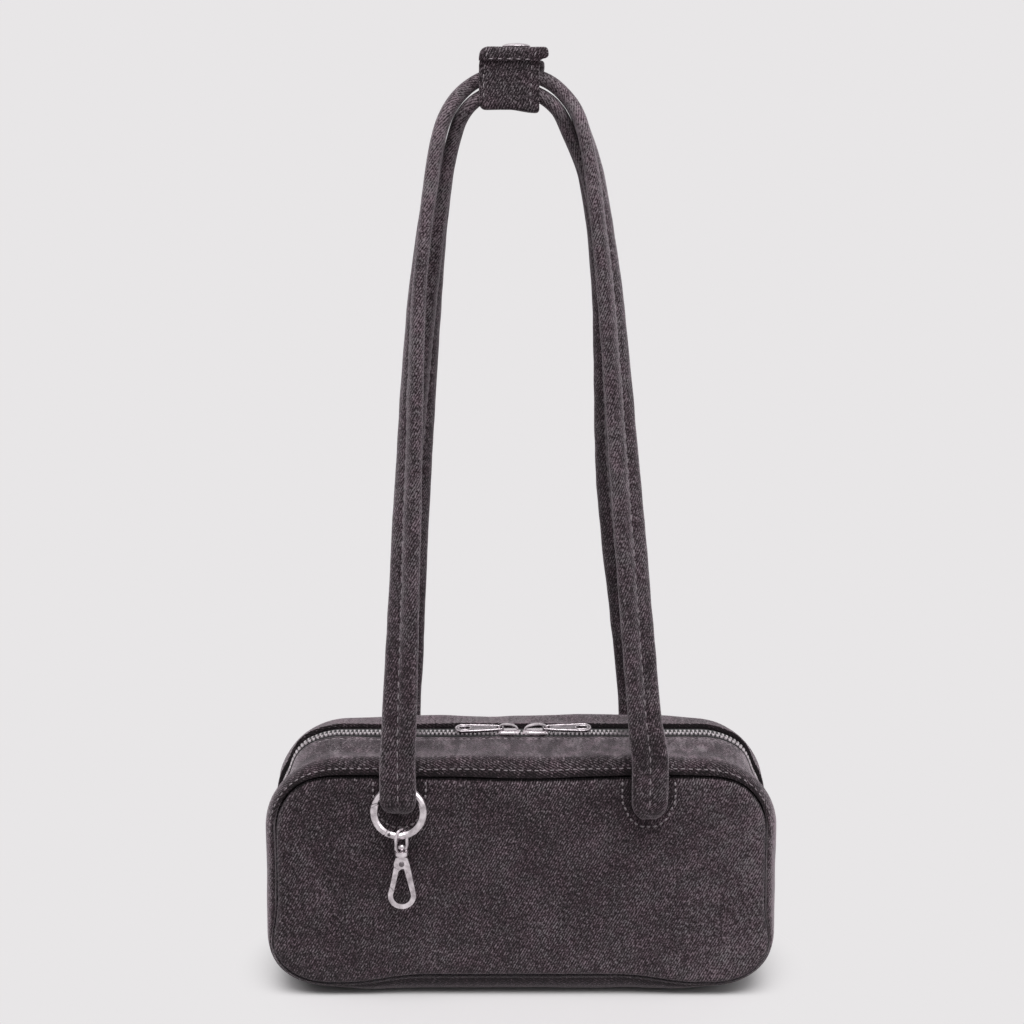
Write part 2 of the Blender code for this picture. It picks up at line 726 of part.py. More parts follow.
def zip_stop(name, side):
    """The metal stop at one end of the chain."""
    rings = []
    for length in (ZIP_END + GAP, ZIP_END + STOP_LENGTH / 2, ZIP_END + STOP_LENGTH):
        (x, z), (out_x, out_z) = outline_at(length)
        section = (
            (TEETH_TOP, -TOOTH_ROOT), (TEETH_TOP, TOOTH_ROOT),
            (TEETH_BOTTOM, TOOTH_ROOT), (TEETH_BOTTOM, -TOOTH_ROOT),
        )
        ring = []
        for inward, across in section:
            ring.append((side * (x - out_x * inward), ZIP_LINE_Y + across, z - out_z * inward))
        rings.append(ring)
    return add_object(name, ring_mesh(name, rings), BRIGHT_METAL)


# Levels of the sliders, as heights
PLATE_BOTTOM = BODY_HEIGHT - TEETH_TOP + GAP
PLATE_TOP = PLATE_BOTTOM + SLIDER_PLATE
UNDER_PLATE_TOP = BODY_HEIGHT - TEETH_BOTTOM - GAP
UNDER_PLATE_BOTTOM = UNDER_PLATE_TOP - SLIDER_PLATE
PULL_AXIS_HEIGHT = PLATE_TOP + SEAT_GAP + PULL_THICKNESS / 2
CROWN_OUTER_RADIUS = CROWN_INNER_RADIUS + CROWN_WALL
CROWN_MIDDLE_RADIUS = CROWN_INNER_RADIUS + CROWN_WALL / 2
PULL_AXIS_X = SLIDER_NOSE_GAP / 2 + SLIDER_LENGTH - CROWN_OUTER_RADIUS - SLIDER_EDGE_ROUND


def slider_plate(name, side, section):
    """A flanged plate of a slider, from its nose to its tail."""
    nose = SLIDER_NOSE_GAP / 2
    tail = nose + SLIDER_LENGTH
    rings = [[(ZIP_MEET_X + side * x, ZIP_LINE_Y + y, z) for y, z in section] for x in (nose, tail)]
    return ring_mesh(name, rings)


def slider(name, side):
    """The top of a zip slider: a flanged plate above the chain, with the crown that holds the pull."""
    tape_top = BODY_HEIGHT - TAPE_TOP + GAP
    wall = SLIDER_HALF_WIDTH - SLIDER_FLANGE
    section = (
        (-SLIDER_HALF_WIDTH, PLATE_TOP), (-SLIDER_HALF_WIDTH, tape_top), (-wall, tape_top),
        (-wall, PLATE_BOTTOM), (wall, PLATE_BOTTOM), (wall, tape_top),
        (SLIDER_HALF_WIDTH, tape_top), (SLIDER_HALF_WIDTH, PLATE_TOP),
    )
    mesh = combine(name, slider_plate(name, side, section), [crown_loop(name, side)], "UNION")
    return rounded_edges(add_object(name, mesh, SATIN_METAL), SLIDER_EDGE_ROUND, 1)


def slider_underside(name, side):
    """The flanged plate of a zip slider below the chain."""
    tape_bottom = BODY_HEIGHT - TAPE_TOP - TAPE_THICKNESS - GAP
    wall = SLIDER_HALF_WIDTH - SLIDER_FLANGE
    section = (
        (-SLIDER_HALF_WIDTH, UNDER_PLATE_BOTTOM), (-SLIDER_HALF_WIDTH, tape_bottom), (-wall, tape_bottom),
        (-wall, UNDER_PLATE_TOP), (wall, UNDER_PLATE_TOP), (wall, tape_bottom),
        (SLIDER_HALF_WIDTH, tape_bottom), (SLIDER_HALF_WIDTH, UNDER_PLATE_BOTTOM),
    )
    mesh = slider_plate(name, side, section)
    return rounded_edges(add_object(name, mesh, SATIN_METAL), SLIDER_EDGE_ROUND, 1)


def crown_loop(name, side):
    """The arch on the slider that holds the pull's bar."""
    path = [(CROWN_MIDDLE_RADIUS, PLATE_TOP - SLIDER_PLATE / 2)]
    path += arc_points((0.0, PULL_AXIS_HEIGHT), CROWN_MIDDLE_RADIUS, 0.0, math.pi, 8)
    path.append((-CROWN_MIDDLE_RADIUS, PLATE_TOP - SLIDER_PLATE / 2))
    rings = []
    for place, (x, z) in enumerate(path):
        away = Vector((x, max(z - PULL_AXIS_HEIGHT, 0.0)))
        away.normalize()
        ring = []
        for out, across in ((-1, -1), (-1, 1), (1, 1), (1, -1)):
            shift = away * (out * CROWN_WALL / 2)
            place_x = ZIP_MEET_X + side * (PULL_AXIS_X + x + shift.x)
            ring.append((place_x, ZIP_LINE_Y + across * CROWN_HALF_WIDTH, z + shift.y))
        rings.append(ring)
    return ring_mesh(name + "_crown", rings)


PULL_BAR = PULL_THICKNESS / 2
PULL_WINDOW_END = CROWN_OUTER_RADIUS + SEAT_GAP
PULL_WINDOW_HALF_WIDTH = CROWN_HALF_WIDTH + SEAT_GAP


def pull(name, side):
    """A pull tab: a bar in the crown, a window for the crown, a recessed face and an oval hole at the end."""

    def plate(outline, low, high):
        placed = [(ZIP_MEET_X + side * (PULL_AXIS_X + x), ZIP_LINE_Y + y) for x, y in outline]
        return prism(name, placed, PULL_AXIS_HEIGHT + low, PULL_AXIS_HEIGHT + high, "Z")

    def strip(start, end, start_half, end_half):
        corner = min(start_half, end_half) / 3
        return [
            (start, -start_half + corner), (start + corner, -start_half), (end - corner, -end_half),
            (end, -end_half + corner), (end, end_half - corner), (end - corner, end_half),
            (start + corner, start_half), (start, start_half - corner),
        ]

    half = PULL_THICKNESS / 2
    body = plate(strip(-PULL_BAR, PULL_LENGTH, PULL_INNER_HALF_WIDTH, PULL_OUTER_HALF_WIDTH), -half, half)
    window = [
        (PULL_BAR, -PULL_WINDOW_HALF_WIDTH), (PULL_WINDOW_END, -PULL_WINDOW_HALF_WIDTH),
        (PULL_WINDOW_END, PULL_WINDOW_HALF_WIDTH), (PULL_BAR, PULL_WINDOW_HALF_WIDTH),
    ]
    hole_end = PULL_LENGTH - PULL_HOLE_INSET - PULL_HOLE_HALF_WIDTH
    hole_start = hole_end - PULL_HOLE_LENGTH + 2 * PULL_HOLE_HALF_WIDTH
    hole = arc_points((hole_end, 0.0), PULL_HOLE_HALF_WIDTH, -math.pi / 2, math.pi / 2, 5)
    hole += arc_points((hole_start, 0.0), PULL_HOLE_HALF_WIDTH, math.pi / 2, 3 * math.pi / 2, 5)
    recess_start = PULL_WINDOW_END + PULL_RIM
    recess_end = hole_start - PULL_HOLE_HALF_WIDTH - PULL_RIM
    recess = strip(recess_start, recess_end, PULL_INNER_HALF_WIDTH - PULL_RIM / 2,
                   PULL_OUTER_HALF_WIDTH - 1.6 * PULL_RIM)
    cutters = [
        plate(window, -half - OVERRUN, half + OVERRUN),
        plate(hole, -half - OVERRUN, half + OVERRUN),
        plate(recess, half - PULL_RECESS, half + OVERRUN),
        plate(recess, -half - OVERRUN, -half + PULL_RECESS),
    ]
    return add_object(name, combine(name, body, cutters, "DIFFERENCE"), SATIN_METAL)


class Route:
    """A smooth curve through knots; a knot holds x, y, z and any values that go with its place."""

    def __init__(self, knots):
        self.knots = knots
        self.marks = [0.0]
        for before, after in zip(knots, knots[1:]):
            step = math.dist(before[:3], after[:3])
            self.marks.append(self.marks[-1] + step)
        self.length = self.marks[-1]

    def slope(self, index):
        low = max(index - 1, 0)
        high = min(index + 1, len(self.knots) - 1)
        run = self.marks[high] - self.marks[low]
        return [(b - a) / run for a, b in zip(self.knots[low], self.knots[high])]

    def at(self, mark):
        mark = min(max(mark, 0.0), self.length)
        index = 0
        while index < len(self.knots) - 2 and self.marks[index + 1] < mark:
            index += 1
        run = self.marks[index + 1] - self.marks[index]
        share = (mark - self.marks[index]) / run
        start, end = self.knots[index], self.knots[index + 1]
        leave, arrive = self.slope(index), self.slope(index + 1)
        square, cube = share ** 2, share ** 3
        values = []
        for a, b, go, come in zip(start, end, leave, arrive):
            value = (2 * cube - 3 * square + 1) * a + (cube - 2 * square + share) * run * go
            value += (3 * square - 2 * cube) * b + (cube - square) * run * come
            values.append(value)
        return values

    def direction(self, mark):
        step = self.length / 4000
        before = Vector(self.at(mark - step)[:3])
        after = Vector(self.at(mark + step)[:3])
        return (after - before).normalized()

    def mark_at_height(self, height, from_end):
        """The mark nearest one end where the route reaches a height."""
        steps = 4000
        for step in range(steps):
            mark = self.length * step / steps
            if from_end:
                mark = self.length - mark
            if self.at(mark)[2] >= height:
                return mark
        return 0.0


STRAP_RISE = STRAP_TOP_HEIGHT - FLEX_TOP_HEIGHT
STRAP_NAMES = {-1: "front", 1: "rear"}
SIDE_NAMES = {-1: "left", 1: "right"}
STRAP_SHIFTS = {-1: FRONT_STRAP_SHIFT, 1: REAR_STRAP_SHIFT}
LEG_SPREADS = {
    (-1, -1): FRONT_LEFT_SPREAD_SHARES,
    (-1, 1): FRONT_RIGHT_SPREAD_SHARES,
    (1, -1): REAR_LEFT_SPREAD_SHARES,
    (1, 1): REAR_RIGHT_SPREAD_SHARES,
}
LEG_TWISTS = {
    (-1, -1): FRONT_LEFT_TWIST_SHARES,
    (-1, 1): FRONT_RIGHT_TWIST_SHARES,
    (1, -1): REAR_LEFT_TWIST_SHARES,
    (1, 1): REAR_RIGHT_TWIST_SHARES,
}


def stand_off(face, side):
    return RING_STRAP_STAND_OFF if (face, side) == (-1, -1) else PLAIN_STRAP_STAND_OFF


def tip_height(face, side):
    return RING_STRAP_TIP_HEIGHT if (face, side) == (-1, -1) else PLAIN_STRAP_TIP_HEIGHT


def leg_knots(face, side):
    """Knots of one strap leg from its sewn tip up to the start of the arch."""
    knots = []
    root_depth = SEAM_HALF_DEPTH + stand_off(face, side)
    shift = STRAP_SHIFTS[face]
    sewn_x = side * STRAP_HALF_SPACING + shift
    tip = tip_height(face, side)
    panel = SEAM_HALF_DEPTH + panel_bulge(sewn_x, tip - STRAP_THICKNESS / 4) + SEAT_GAP
    flat_turn = 0.0 if face * side > 0 else math.pi
    for angle, width, thickness in zip(CURL_ANGLES, CURL_WIDTH_SHARES, CURL_THICKNESS_SHARES):
        depth = panel + (root_depth - panel) * math.sin(angle)
        height = tip + STRAP_CURL_RISE * (1 - math.cos(angle))
        knots.append((sewn_x, face * depth, height, flat_turn, width, thickness))
    thickness = LEG_THICKNESS_SHARES[0]
    knots.append((sewn_x, face * root_depth, FLEX_BOTTOM_HEIGHT, flat_turn, 1.0, thickness))
    rows = zip(LEG_RISE_SHARES, LEG_SPREADS[face, side], LEG_DEPTH_SHARES, LEG_TWISTS[face, side],
               LEG_THICKNESS_SHARES)
    for rise, spread, depth, twist, thickness in rows:
        x = side * STRAP_HALF_SPACING * spread + shift
        turn = flat_turn + (math.pi / 2 - flat_turn) * twist
        knots.append((x, face * root_depth * depth, FLEX_TOP_HEIGHT + STRAP_RISE * rise, turn, 1.0, thickness))
    return knots


def arch_knots(face, side):
    """Knots of one side of the arch, from the leg up to near the top."""
    knots = []
    inset = STRAP_NEST if face > 0 else 0.0
    foot = STRAP_TOP_HEIGHT - ARCH_RISE
    root_depth = SEAM_HALF_DEPTH + stand_off(face, side)
    for angle, depth in zip(ARCH_ANGLES, ARCH_DEPTH_SHARES):
        x = side * (ARCH_HALF_WIDTH - inset) * math.cos(angle) + ARCH_SHIFT
        z = foot + (ARCH_RISE - inset) * math.sin(angle)
        knots.append((x, face * root_depth * depth, z, math.pi / 2, 1.0, 1.0))
    return knots


def strap_route(face):
    """The middle line of a strap, from the left sewn tip over the top to the right one."""
    inset = STRAP_NEST if face > 0 else 0.0
    top = (ARCH_SHIFT, 0.0, STRAP_TOP_HEIGHT - inset, math.pi / 2, 1.0, 1.0)
    left = leg_knots(face, -1) + arch_knots(face, -1)
    right = leg_knots(face, 1) + arch_knots(face, 1)
    return Route([*left, top, *reversed(right)])


def strap_ring(route, mark):
    """The strap's section at a mark: two soft ridges beside a sewn middle groove."""
    x, y, z, turn, width, thickness = route.at(mark)
    along = route.direction(mark)
    if mark in (0.0, route.length):
        along = Vector((0.0, along.y, 0.0)).normalized()
    across = Vector((math.cos(turn), -math.sin(turn), 0.0))
    across = (across - along * across.dot(along)).normalized()
    out = across.cross(along)
    ring = []
    for wide_share, thick_share in STRAP_SECTION_SHARES:
        point = Vector((x, y, z))
        point += across * (wide_share * width * STRAP_WIDTH / 2)
        point += out * (thick_share * thickness * STRAP_THICKNESS / 2)
        ring.append(point)
    return ring


def strap_run(name, route, start, end, step):
    count = max(2, math.ceil((end - start) / step))
    rings = [strap_ring(route, start + (end - start) * number / count) for number in range(count + 1)]
    return ring_mesh(name, rings)


def free_rings(route):
    """The sections of a strap's free run, closer together round the arch."""
    start = route.mark_at_height(FLEX_TOP_HEIGHT, False) + GAP
    end = route.mark_at_height(FLEX_TOP_HEIGHT, True) - GAP
    foot = STRAP_TOP_HEIGHT - ARCH_RISE
    arch_start = route.mark_at_height(foot, False)
    arch_end = route.mark_at_height(foot, True)
    marks = []
    for low, high, step in ((start, arch_start, STRAP_STEP), (arch_start, arch_end, ARCH_STEP),
                            (arch_end, end, STRAP_STEP)):
        count = math.ceil((high - low) / step)
        marks += [low + (high - low) * number / count for number in range(count)]
    return [strap_ring(route, mark) for mark in [*marks, end]]


def straps(face):
    """One strap as its free run, two bending stretches and two sewn ends."""
    route = strap_route(face)
    word = STRAP_NAMES[face]
    left_low = route.mark_at_height(FLEX_BOTTOM_HEIGHT, False)
    left_high = route.mark_at_height(FLEX_TOP_HEIGHT, False)
    right_low = route.mark_at_height(FLEX_BOTTOM_HEIGHT, True)
    right_high = route.mark_at_height(FLEX_TOP_HEIGHT, True)
    name = word + "_strap"
    pieces = [add_object(name, ring_mesh(name, free_rings(route)), DENIM)]
    flexes = ((-1, left_low, left_high), (1, right_high, right_low))
    for side, low, high in flexes:
        name = word + "_" + SIDE_NAMES[side] + "_strap_flex"
        pieces.append(add_object(name, strap_run(name, route, low, high, ARCH_STEP), DENIM))
    ends = ((-1, 0.0, left_low - GAP), (1, right_low + GAP, route.length))
    for side, low, high in ends:
        name = word + "_" + SIDE_NAMES[side] + "_strap_end"
        mesh = strap_run(name, route, low, high, STRAP_CURL_STEP)
        if (face, side) == (-1, -1):
            mesh = combine(name, mesh, [ring_seat(name)], "UNION")
        pieces.append(add_object(name, mesh, DENIM))
    return pieces


RING_X = FRONT_STRAP_SHIFT - STRAP_HALF_SPACING
RING_Y = -SEAM_HALF_DEPTH - RING_STAND_OFF
RING_SEAT_HALF_WIDTH = 0.0052
RING_SEAT_HEIGHT = 0.0052


def ring_seat(name):
    """The folded-under end of the strap, sewn to the panel, whose round top edge carries the ring."""
    radius = RING_RADIUS - RING_WIRE_RADIUS - GAP
    spread = math.asin(RING_SEAT_HALF_WIDTH / radius)
    top = arc_points((RING_X, RING_CENTRE_HEIGHT), radius, math.pi / 2 - spread, math.pi / 2 + spread, 6)
    low = RING_CENTRE_HEIGHT + radius - RING_SEAT_HEIGHT - STRAP_THICKNESS / 4
    outline = [*top, (RING_X - RING_SEAT_HALF_WIDTH, low), (RING_X + RING_SEAT_HALF_WIDTH, low)]
    back = -(SEAM_HALF_DEPTH + panel_bulge(RING_X, RING_STRAP_TIP_HEIGHT) + SEAT_GAP)
    front = -(SEAM_HALF_DEPTH + RING_STRAP_STAND_OFF)
    return prism(name + "_seat", outline, front, back, "Y")


def handle_stay(name, face):
    """A strip of strong cloth inside the panel, behind both sewn strap ends."""
    top = BODY_HEIGHT - ROLL_AT_TOP - SEAM_TUCK - PANEL_PUFF_WIDTH
    half = STRAP_HALF_SPACING + STAY_OVERHANG
    shift = STRAP_SHIFTS[face]
    outline = [
        (shift - half, top), (shift + half, top), (shift + half, top - STAY_HEIGHT), (shift - half, top - STAY_HEIGHT),
    ]
    outer = SEAM_HALF_DEPTH + PANEL_PUFF - CLOTH - SEAT_GAP
    inner = outer - STAY_THICKNESS
    return add_object(name, prism(name, outline, face * inner, face * outer, "Y"), TWILL_LINING)


# Keeper levels
KEEPER_X = KEEPER_SHIFT
SNAP_X = KEEPER_SHIFT + SNAP_SHIFT
KEEPER_HALF_DEPTH = STRAP_WIDTH / 2 + SEAT_GAP + KEEPER_CLOTH / 2
KEEPER_LAYER_HEIGHT = STRAP_TOP_HEIGHT + STRAP_THICKNESS / 2 + KEEPER_LAYER_EASE
KEEPER_BACK_TOP = KEEPER_LAYER_HEIGHT - KEEPER_BACK_DROP
LAYER_TOP = KEEPER_LAYER_HEIGHT + KEEPER_CLOTH / 2
FLAP_UNDERSIDE = LAYER_TOP + SNAP_ROOM
FLAP_TOP_HEIGHT = FLAP_UNDERSIDE + KEEPER_CLOTH / 2
FLAP_LIP_DEPTH = KEEPER_HALF_DEPTH + KEEPER_CLOTH + GAP


def keeper_base_height():
    """The middle of the keeper's lowest run, just under the inner strap at the keeper's ends."""
    lows = [min(ring, key=lambda point: point.z) for ring in free_rings(strap_route(1))]
    heights = []
    for end in (KEEPER_X - KEEPER_WIDTH / 2, KEEPER_X + KEEPER_WIDTH / 2):
        for before, after in zip(lows, lows[1:]):
            if before.x <= end <= after.x:
                share = (end - before.x) / (after.x - before.x)
                heights.append(before.z + (after.z - before.z) * share)
    return min(heights) - SEAT_GAP - KEEPER_CLOTH / 2


def band_run(name, path, x_middle, width):
    """A flat band along a path (y, z), with mitred corners."""
    rings = []
    for place, (y, z) in enumerate(path):
        before = Vector(path[max(place - 1, 0)])
        here = Vector((y, z))
        after = Vector(path[min(place + 1, len(path) - 1)])
        leave = (here - before).normalized() if place else (after - here).normalized()
        arrive = (after - here).normalized() if place < len(path) - 1 else leave
        along = (leave + arrive).normalized()
        aside = Vector((-along.y, along.x)) * (KEEPER_CLOTH / 2 / max(along.dot(leave), 0.5))
        ring = []
        for out, across in ((-1, -1), (1, -1), (1, 1), (-1, 1)):
            spot = here + aside * out
            ring.append((x_middle + across * width / 2, spot.x, spot.y))
        rings.append(ring)
    return ring_mesh(name, rings)


def corner_path(corners, radius):
    """A path (y, z) through corners, each rounded with three points."""
    path = [corners[0]]
    for before, here, after in zip(corners, corners[1:], corners[2:]):
        here, before, after = Vector(here), Vector(before), Vector(after)
        start = here + (before - here).normalized() * radius
        end = here + (after - here).normalized() * radius
        middle = (start + end) / 4 + here / 2
        path += [tuple(start), tuple(middle), tuple(end)]
    path.append(corners[-1])
    return path


def keeper_band():
    """The band that holds both straps: a top layer, the front, the underside and the back."""
    low = keeper_base_height()
    corners = [
        (KEEPER_HALF_DEPTH - KEEPER_CLOTH - SEAT_GAP, KEEPER_LAYER_HEIGHT),
        (-KEEPER_HALF_DEPTH, KEEPER_LAYER_HEIGHT),
        (-KEEPER_HALF_DEPTH, low),
        (KEEPER_HALF_DEPTH, low),
        (KEEPER_HALF_DEPTH, KEEPER_BACK_TOP),
    ]
    path = corner_path(corners, KEEPER_CORNER_RADIUS)
    return add_object("keeper_band", band_run("keeper_band", path, KEEPER_X, KEEPER_WIDTH), DENIM)


def keeper_flap():
    """The flap that comes over from the back and closes on the snap, with a lip down the front."""
    corners = [
        (KEEPER_HALF_DEPTH, KEEPER_BACK_TOP + GAP),
        (KEEPER_HALF_DEPTH, FLAP_TOP_HEIGHT),
        (-FLAP_LIP_DEPTH, FLAP_TOP_HEIGHT),
        (-FLAP_LIP_DEPTH, FLAP_TOP_HEIGHT - FLAP_LIP),
    ]
    path = corner_path(corners, KEEPER_CORNER_RADIUS)
    return add_object("keeper_flap", band_run("keeper_flap", path, KEEPER_X + FLAP_SHIFT, FLAP_WIDTH), DENIM)


def snap_stud():
    """The snap's stud on the keeper's top layer."""
    base = LAYER_TOP + GAP
    top = FLAP_UNDERSIDE - GAP
    profile = (
        (SNAP_FLANGE_RADIUS, 0.0), (SNAP_FLANGE_RADIUS, SNAP_FLANGE), (SNAP_NUB_RADIUS, SNAP_FLANGE),
        (SNAP_NUB_RADIUS, top - base),
    )
    return add_object("snap_stud", turned("snap_stud", profile, (SNAP_X, 0.0, base), 16), BRIGHT_METAL)


def snap_socket():
    """The snap's socket under the flap, a ring round the stud's nub."""
    low = LAYER_TOP + SNAP_FLANGE + 2 * GAP
    high = FLAP_UNDERSIDE - GAP
    rings = []
    for radius, height in ((SNAP_BORE_RADIUS, low), (SNAP_SOCKET_RADIUS, low),
                           (SNAP_SOCKET_RADIUS, high), (SNAP_BORE_RADIUS, high)):
        ring = []
        for side in range(16):
            angle = 2 * math.pi * side / 16
            ring.append((SNAP_X + radius * math.cos(angle), radius * math.sin(angle), height))
        rings.append(ring)
    return add_object("snap_socket", ring_mesh("snap_socket", rings, closed=True), BRIGHT_METAL)


def snap_cap():
    """The snap's round cap on top of the flap."""
    base = FLAP_TOP_HEIGHT + KEEPER_CLOTH / 2 + GAP
    profile = [(SNAP_CAP_RADIUS - SNAP_FLANGE, 0.0), (SNAP_CAP_RADIUS, SNAP_FLANGE)]
    for step in range(1, 5):
        angle = math.pi / 2 * step / 5
        radius = SNAP_CAP_RADIUS * math.cos(angle)
        height = SNAP_FLANGE + (SNAP_CAP_HEIGHT - SNAP_FLANGE) * math.sin(angle)
        profile.append((radius, height))
    return add_object("snap_cap", turned("snap_cap", profile, (SNAP_X, 0.0, base), 20), BRIGHT_METAL)


def ring_point(angle, radius):
    return Vector((RING_X + radius * math.cos(angle), RING_Y, RING_CENTRE_HEIGHT + radius * math.sin(angle)))


def wire_ring(angle, sides, cut_share=0.0):
    """The round section of the ring's wire; cut_share slants it towards the seam at the gate's free end."""
    slant = cut_share * math.tan(GATE_CUT_TURN)
    ring = []
    radial = Vector((math.cos(angle), 0.0, math.sin(angle)))
    along = Vector((-math.sin(angle), 0.0, math.cos(angle)))
    for side in range(sides):
        turn = 2 * math.pi * side / sides
        out = RING_WIRE_RADIUS * math.cos(turn)
        across = RING_WIRE_RADIUS * math.sin(turn)
        point = ring_point(angle, RING_RADIUS) + radial * out + Vector((0.0, across, 0.0))
        ring.append(point - along * (out * slant))
    return ring


RING_SIDES = 10
KNUCKLE_ANGLE = GATE_KNUCKLE_RADIUS / RING_RADIUS
SEAM_ANGLE = GAP / RING_RADIUS
HINGE_GAP_ANGLE = GATE_HINGE_GAP / RING_RADIUS
CUT_SHARES = {0: 1.0, 1: 0.5}


def gate_ring():
    """The fixed arc of the ring, forked at the hinge pin."""
    start = GATE_PIN_ANGLE - KNUCKLE_ANGLE
    end = GATE_END_ANGLE + 2 * math.pi - SEAM_ANGLE
    steps = 30
    rings = []
    for step in range(steps + 1):
        angle = start + (end - start) * step / steps
        rings.append(wire_ring(angle, RING_SIDES, CUT_SHARES.get(steps - step, 0.0)))
    body = ring_mesh("gate_ring", rings)
    slot_angle = GATE_PIN_ANGLE + KNUCKLE_ANGLE + SEAM_ANGLE
    slot = fork_slot("gate_ring_slot", start - KNUCKLE_ANGLE, slot_angle)
    pin_hole = pin_at("gate_ring_hole", RING_PIN_RADIUS + SEAT_GAP, RING_WIRE_RADIUS + OVERRUN)
    mesh = combine("gate_ring", body, [slot, pin_hole], "DIFFERENCE")
    return add_object("gate_ring", mesh, SATIN_METAL)


def fork_slot(name, start, end):
    """A slot in the middle of the wire between two angles."""
    rings = []
    steps = 4
    reach = RING_WIRE_RADIUS + OVERRUN
    for step in range(steps + 1):
        angle = start + (end - start) * step / steps
        inner = ring_point(angle, RING_RADIUS - reach)
        outer = ring_point(angle, RING_RADIUS + reach)
        half = Vector((0.0, GATE_SLOT / 2, 0.0))
        rings.append([inner - half, outer - half, outer + half, inner + half])
    return ring_mesh(name, rings)


def pin_at(name, radius, half_length):
    """A round bar along Y at the ring's hinge."""
    centre = ring_point(GATE_PIN_ANGLE, RING_RADIUS)
    profile = ((radius, -half_length), (radius, half_length))
    return turned(name, profile, tuple(centre), 12, axis="Y")


def ring_gate():
    """The sprung arc of the ring, with a tongue round the hinge pin."""
    start = GATE_END_ANGLE
    end = GATE_PIN_ANGLE - KNUCKLE_ANGLE - HINGE_GAP_ANGLE
    steps = 9
    rings = []
    for step in range(steps + 1):
        angle = start + (end - start) * step / steps
        rings.append(wire_ring(angle, RING_SIDES, CUT_SHARES.get(step, 0.0)))
    body = ring_mesh("ring_gate", rings)
    knuckle = turned("ring_gate_knuckle",
                     ((GATE_KNUCKLE_RADIUS, -GATE_TONGUE / 2), (GATE_KNUCKLE_RADIUS, GATE_TONGUE / 2)),
                     tuple(ring_point(GATE_PIN_ANGLE, RING_RADIUS)), 16, axis="Y")
    neck = gate_neck()
    mesh = combine("ring_gate", body, [knuckle, neck], "UNION")
    mesh = combine("ring_gate", mesh, [pin_at("ring_gate_hole", RING_PIN_RADIUS + SEAT_GAP, GATE_SLOT)],
                   "DIFFERENCE")
    return add_object("ring_gate", mesh, SATIN_METAL)


def gate_neck():
    """The flat tongue between the gate's wire and its knuckle."""
    rings = []
    steps = 3
    start = GATE_PIN_ANGLE - 2 * KNUCKLE_ANGLE - HINGE_GAP_ANGLE
    for step in range(steps + 1):
        angle = start + (GATE_PIN_ANGLE - start) * step / steps
        inner = ring_point(angle, RING_RADIUS - GATE_KNUCKLE_RADIUS * 0.8)
        outer = ring_point(angle, RING_RADIUS + GATE_KNUCKLE_RADIUS * 0.8)
        half = Vector((0.0, GATE_TONGUE / 2, 0.0))
        rings.append([inner - half, outer - half, outer + half, inner + half])
    return ring_mesh("ring_gate_neck", rings)


def ring_pin():
    mesh = pin_at("ring_pin", RING_PIN_RADIUS, RING_WIRE_RADIUS * 0.96)
    return add_object("ring_pin", mesh, SATIN_METAL)


# Hook levels, below the middle of the ring's wire at its lowest place
HOOK_X = RING_X + HOOK_SHIFT
HOOK_Y = RING_Y
HOOK_TOP_Z = RING_CENTRE_HEIGHT - RING_RADIUS
CUP_TOP_Z = HOOK_TOP_Z - CUP_DROP
CUP_BOTTOM_Z = CUP_TOP_Z - CUP_HEIGHT
HEAD_TOP_Z = CUP_BOTTOM_Z - GAP
RIVET_Z = HOOK_TOP_Z - RIVET_DROP
BEND_Z = HOOK_TOP_Z - HOOK_BEND_DROP
POST_HOLE_RADIUS = POST_RADIUS + SEAT_GAP


def swivel_eye():
    """The eye on the ring: a wire arch on a cup with a hole for the swivel post."""
    arch_top = HOOK_TOP_Z + RING_WIRE_RADIUS + EYE_LIFT + EYE_WIRE_RADIUS
    arch_centre = arch_top - EYE_HALF_WIDTH
    foot = CUP_TOP_Z - CUP_HEIGHT / 3
    foot_half = CUP_RADIUS - EYE_WIRE_RADIUS / 2
    path = [(foot_half, foot), (foot_half, CUP_TOP_Z), (EYE_HALF_WIDTH, CUP_TOP_Z + CUP_HEIGHT / 2)]
    path += arc_points((0.0, arch_centre), EYE_HALF_WIDTH, 0.0, math.pi, 12)
    path += [(-EYE_HALF_WIDTH, CUP_TOP_Z + CUP_HEIGHT / 2), (-foot_half, CUP_TOP_Z), (-foot_half, foot)]
    rings = []
    for place, (across, z) in enumerate(path):
        before = Vector(path[max(place - 1, 0)])
        after = Vector(path[min(place + 1, len(path) - 1)])
        along = (after - before).normalized()
        aside = Vector((along.y, -along.x))
        ring = []
        for side in range(8):
            turn = 2 * math.pi * (side + 0.5) / 8
            spot = Vector((across, z)) + aside * (EYE_WIRE_RADIUS * math.cos(turn))
            through = EYE_WIRE_RADIUS * math.sin(turn)
            x = HOOK_X + spot.x * math.cos(EYE_TURN) - through * math.sin(EYE_TURN)
            y = HOOK_Y + spot.x * math.sin(EYE_TURN) + through * math.cos(EYE_TURN)
            ring.append((x, y, spot.y))
        rings.append(ring)
    arch = ring_mesh("swivel_eye_arch", rings)
    profile = ((CUP_BASE_RADIUS, 0.0), (CUP_RADIUS, CUP_HEIGHT / 3), (CUP_RADIUS, CUP_HEIGHT))
    cup = turned("swivel_eye_cup", profile, (HOOK_X, HOOK_Y, CUP_BOTTOM_Z), 20)
    hole = turned("swivel_eye_hole", ((POST_HOLE_RADIUS, -OVERRUN), (POST_HOLE_RADIUS, CUP_HEIGHT + OVERRUN)),
                  (HOOK_X, HOOK_Y, CUP_BOTTOM_Z), 12)
    mesh = combine("swivel_eye", arch, [cup], "UNION")
    mesh = combine("swivel_eye", mesh, [hole], "DIFFERENCE")
    return add_object("swivel_eye", mesh, SATIN_METAL)


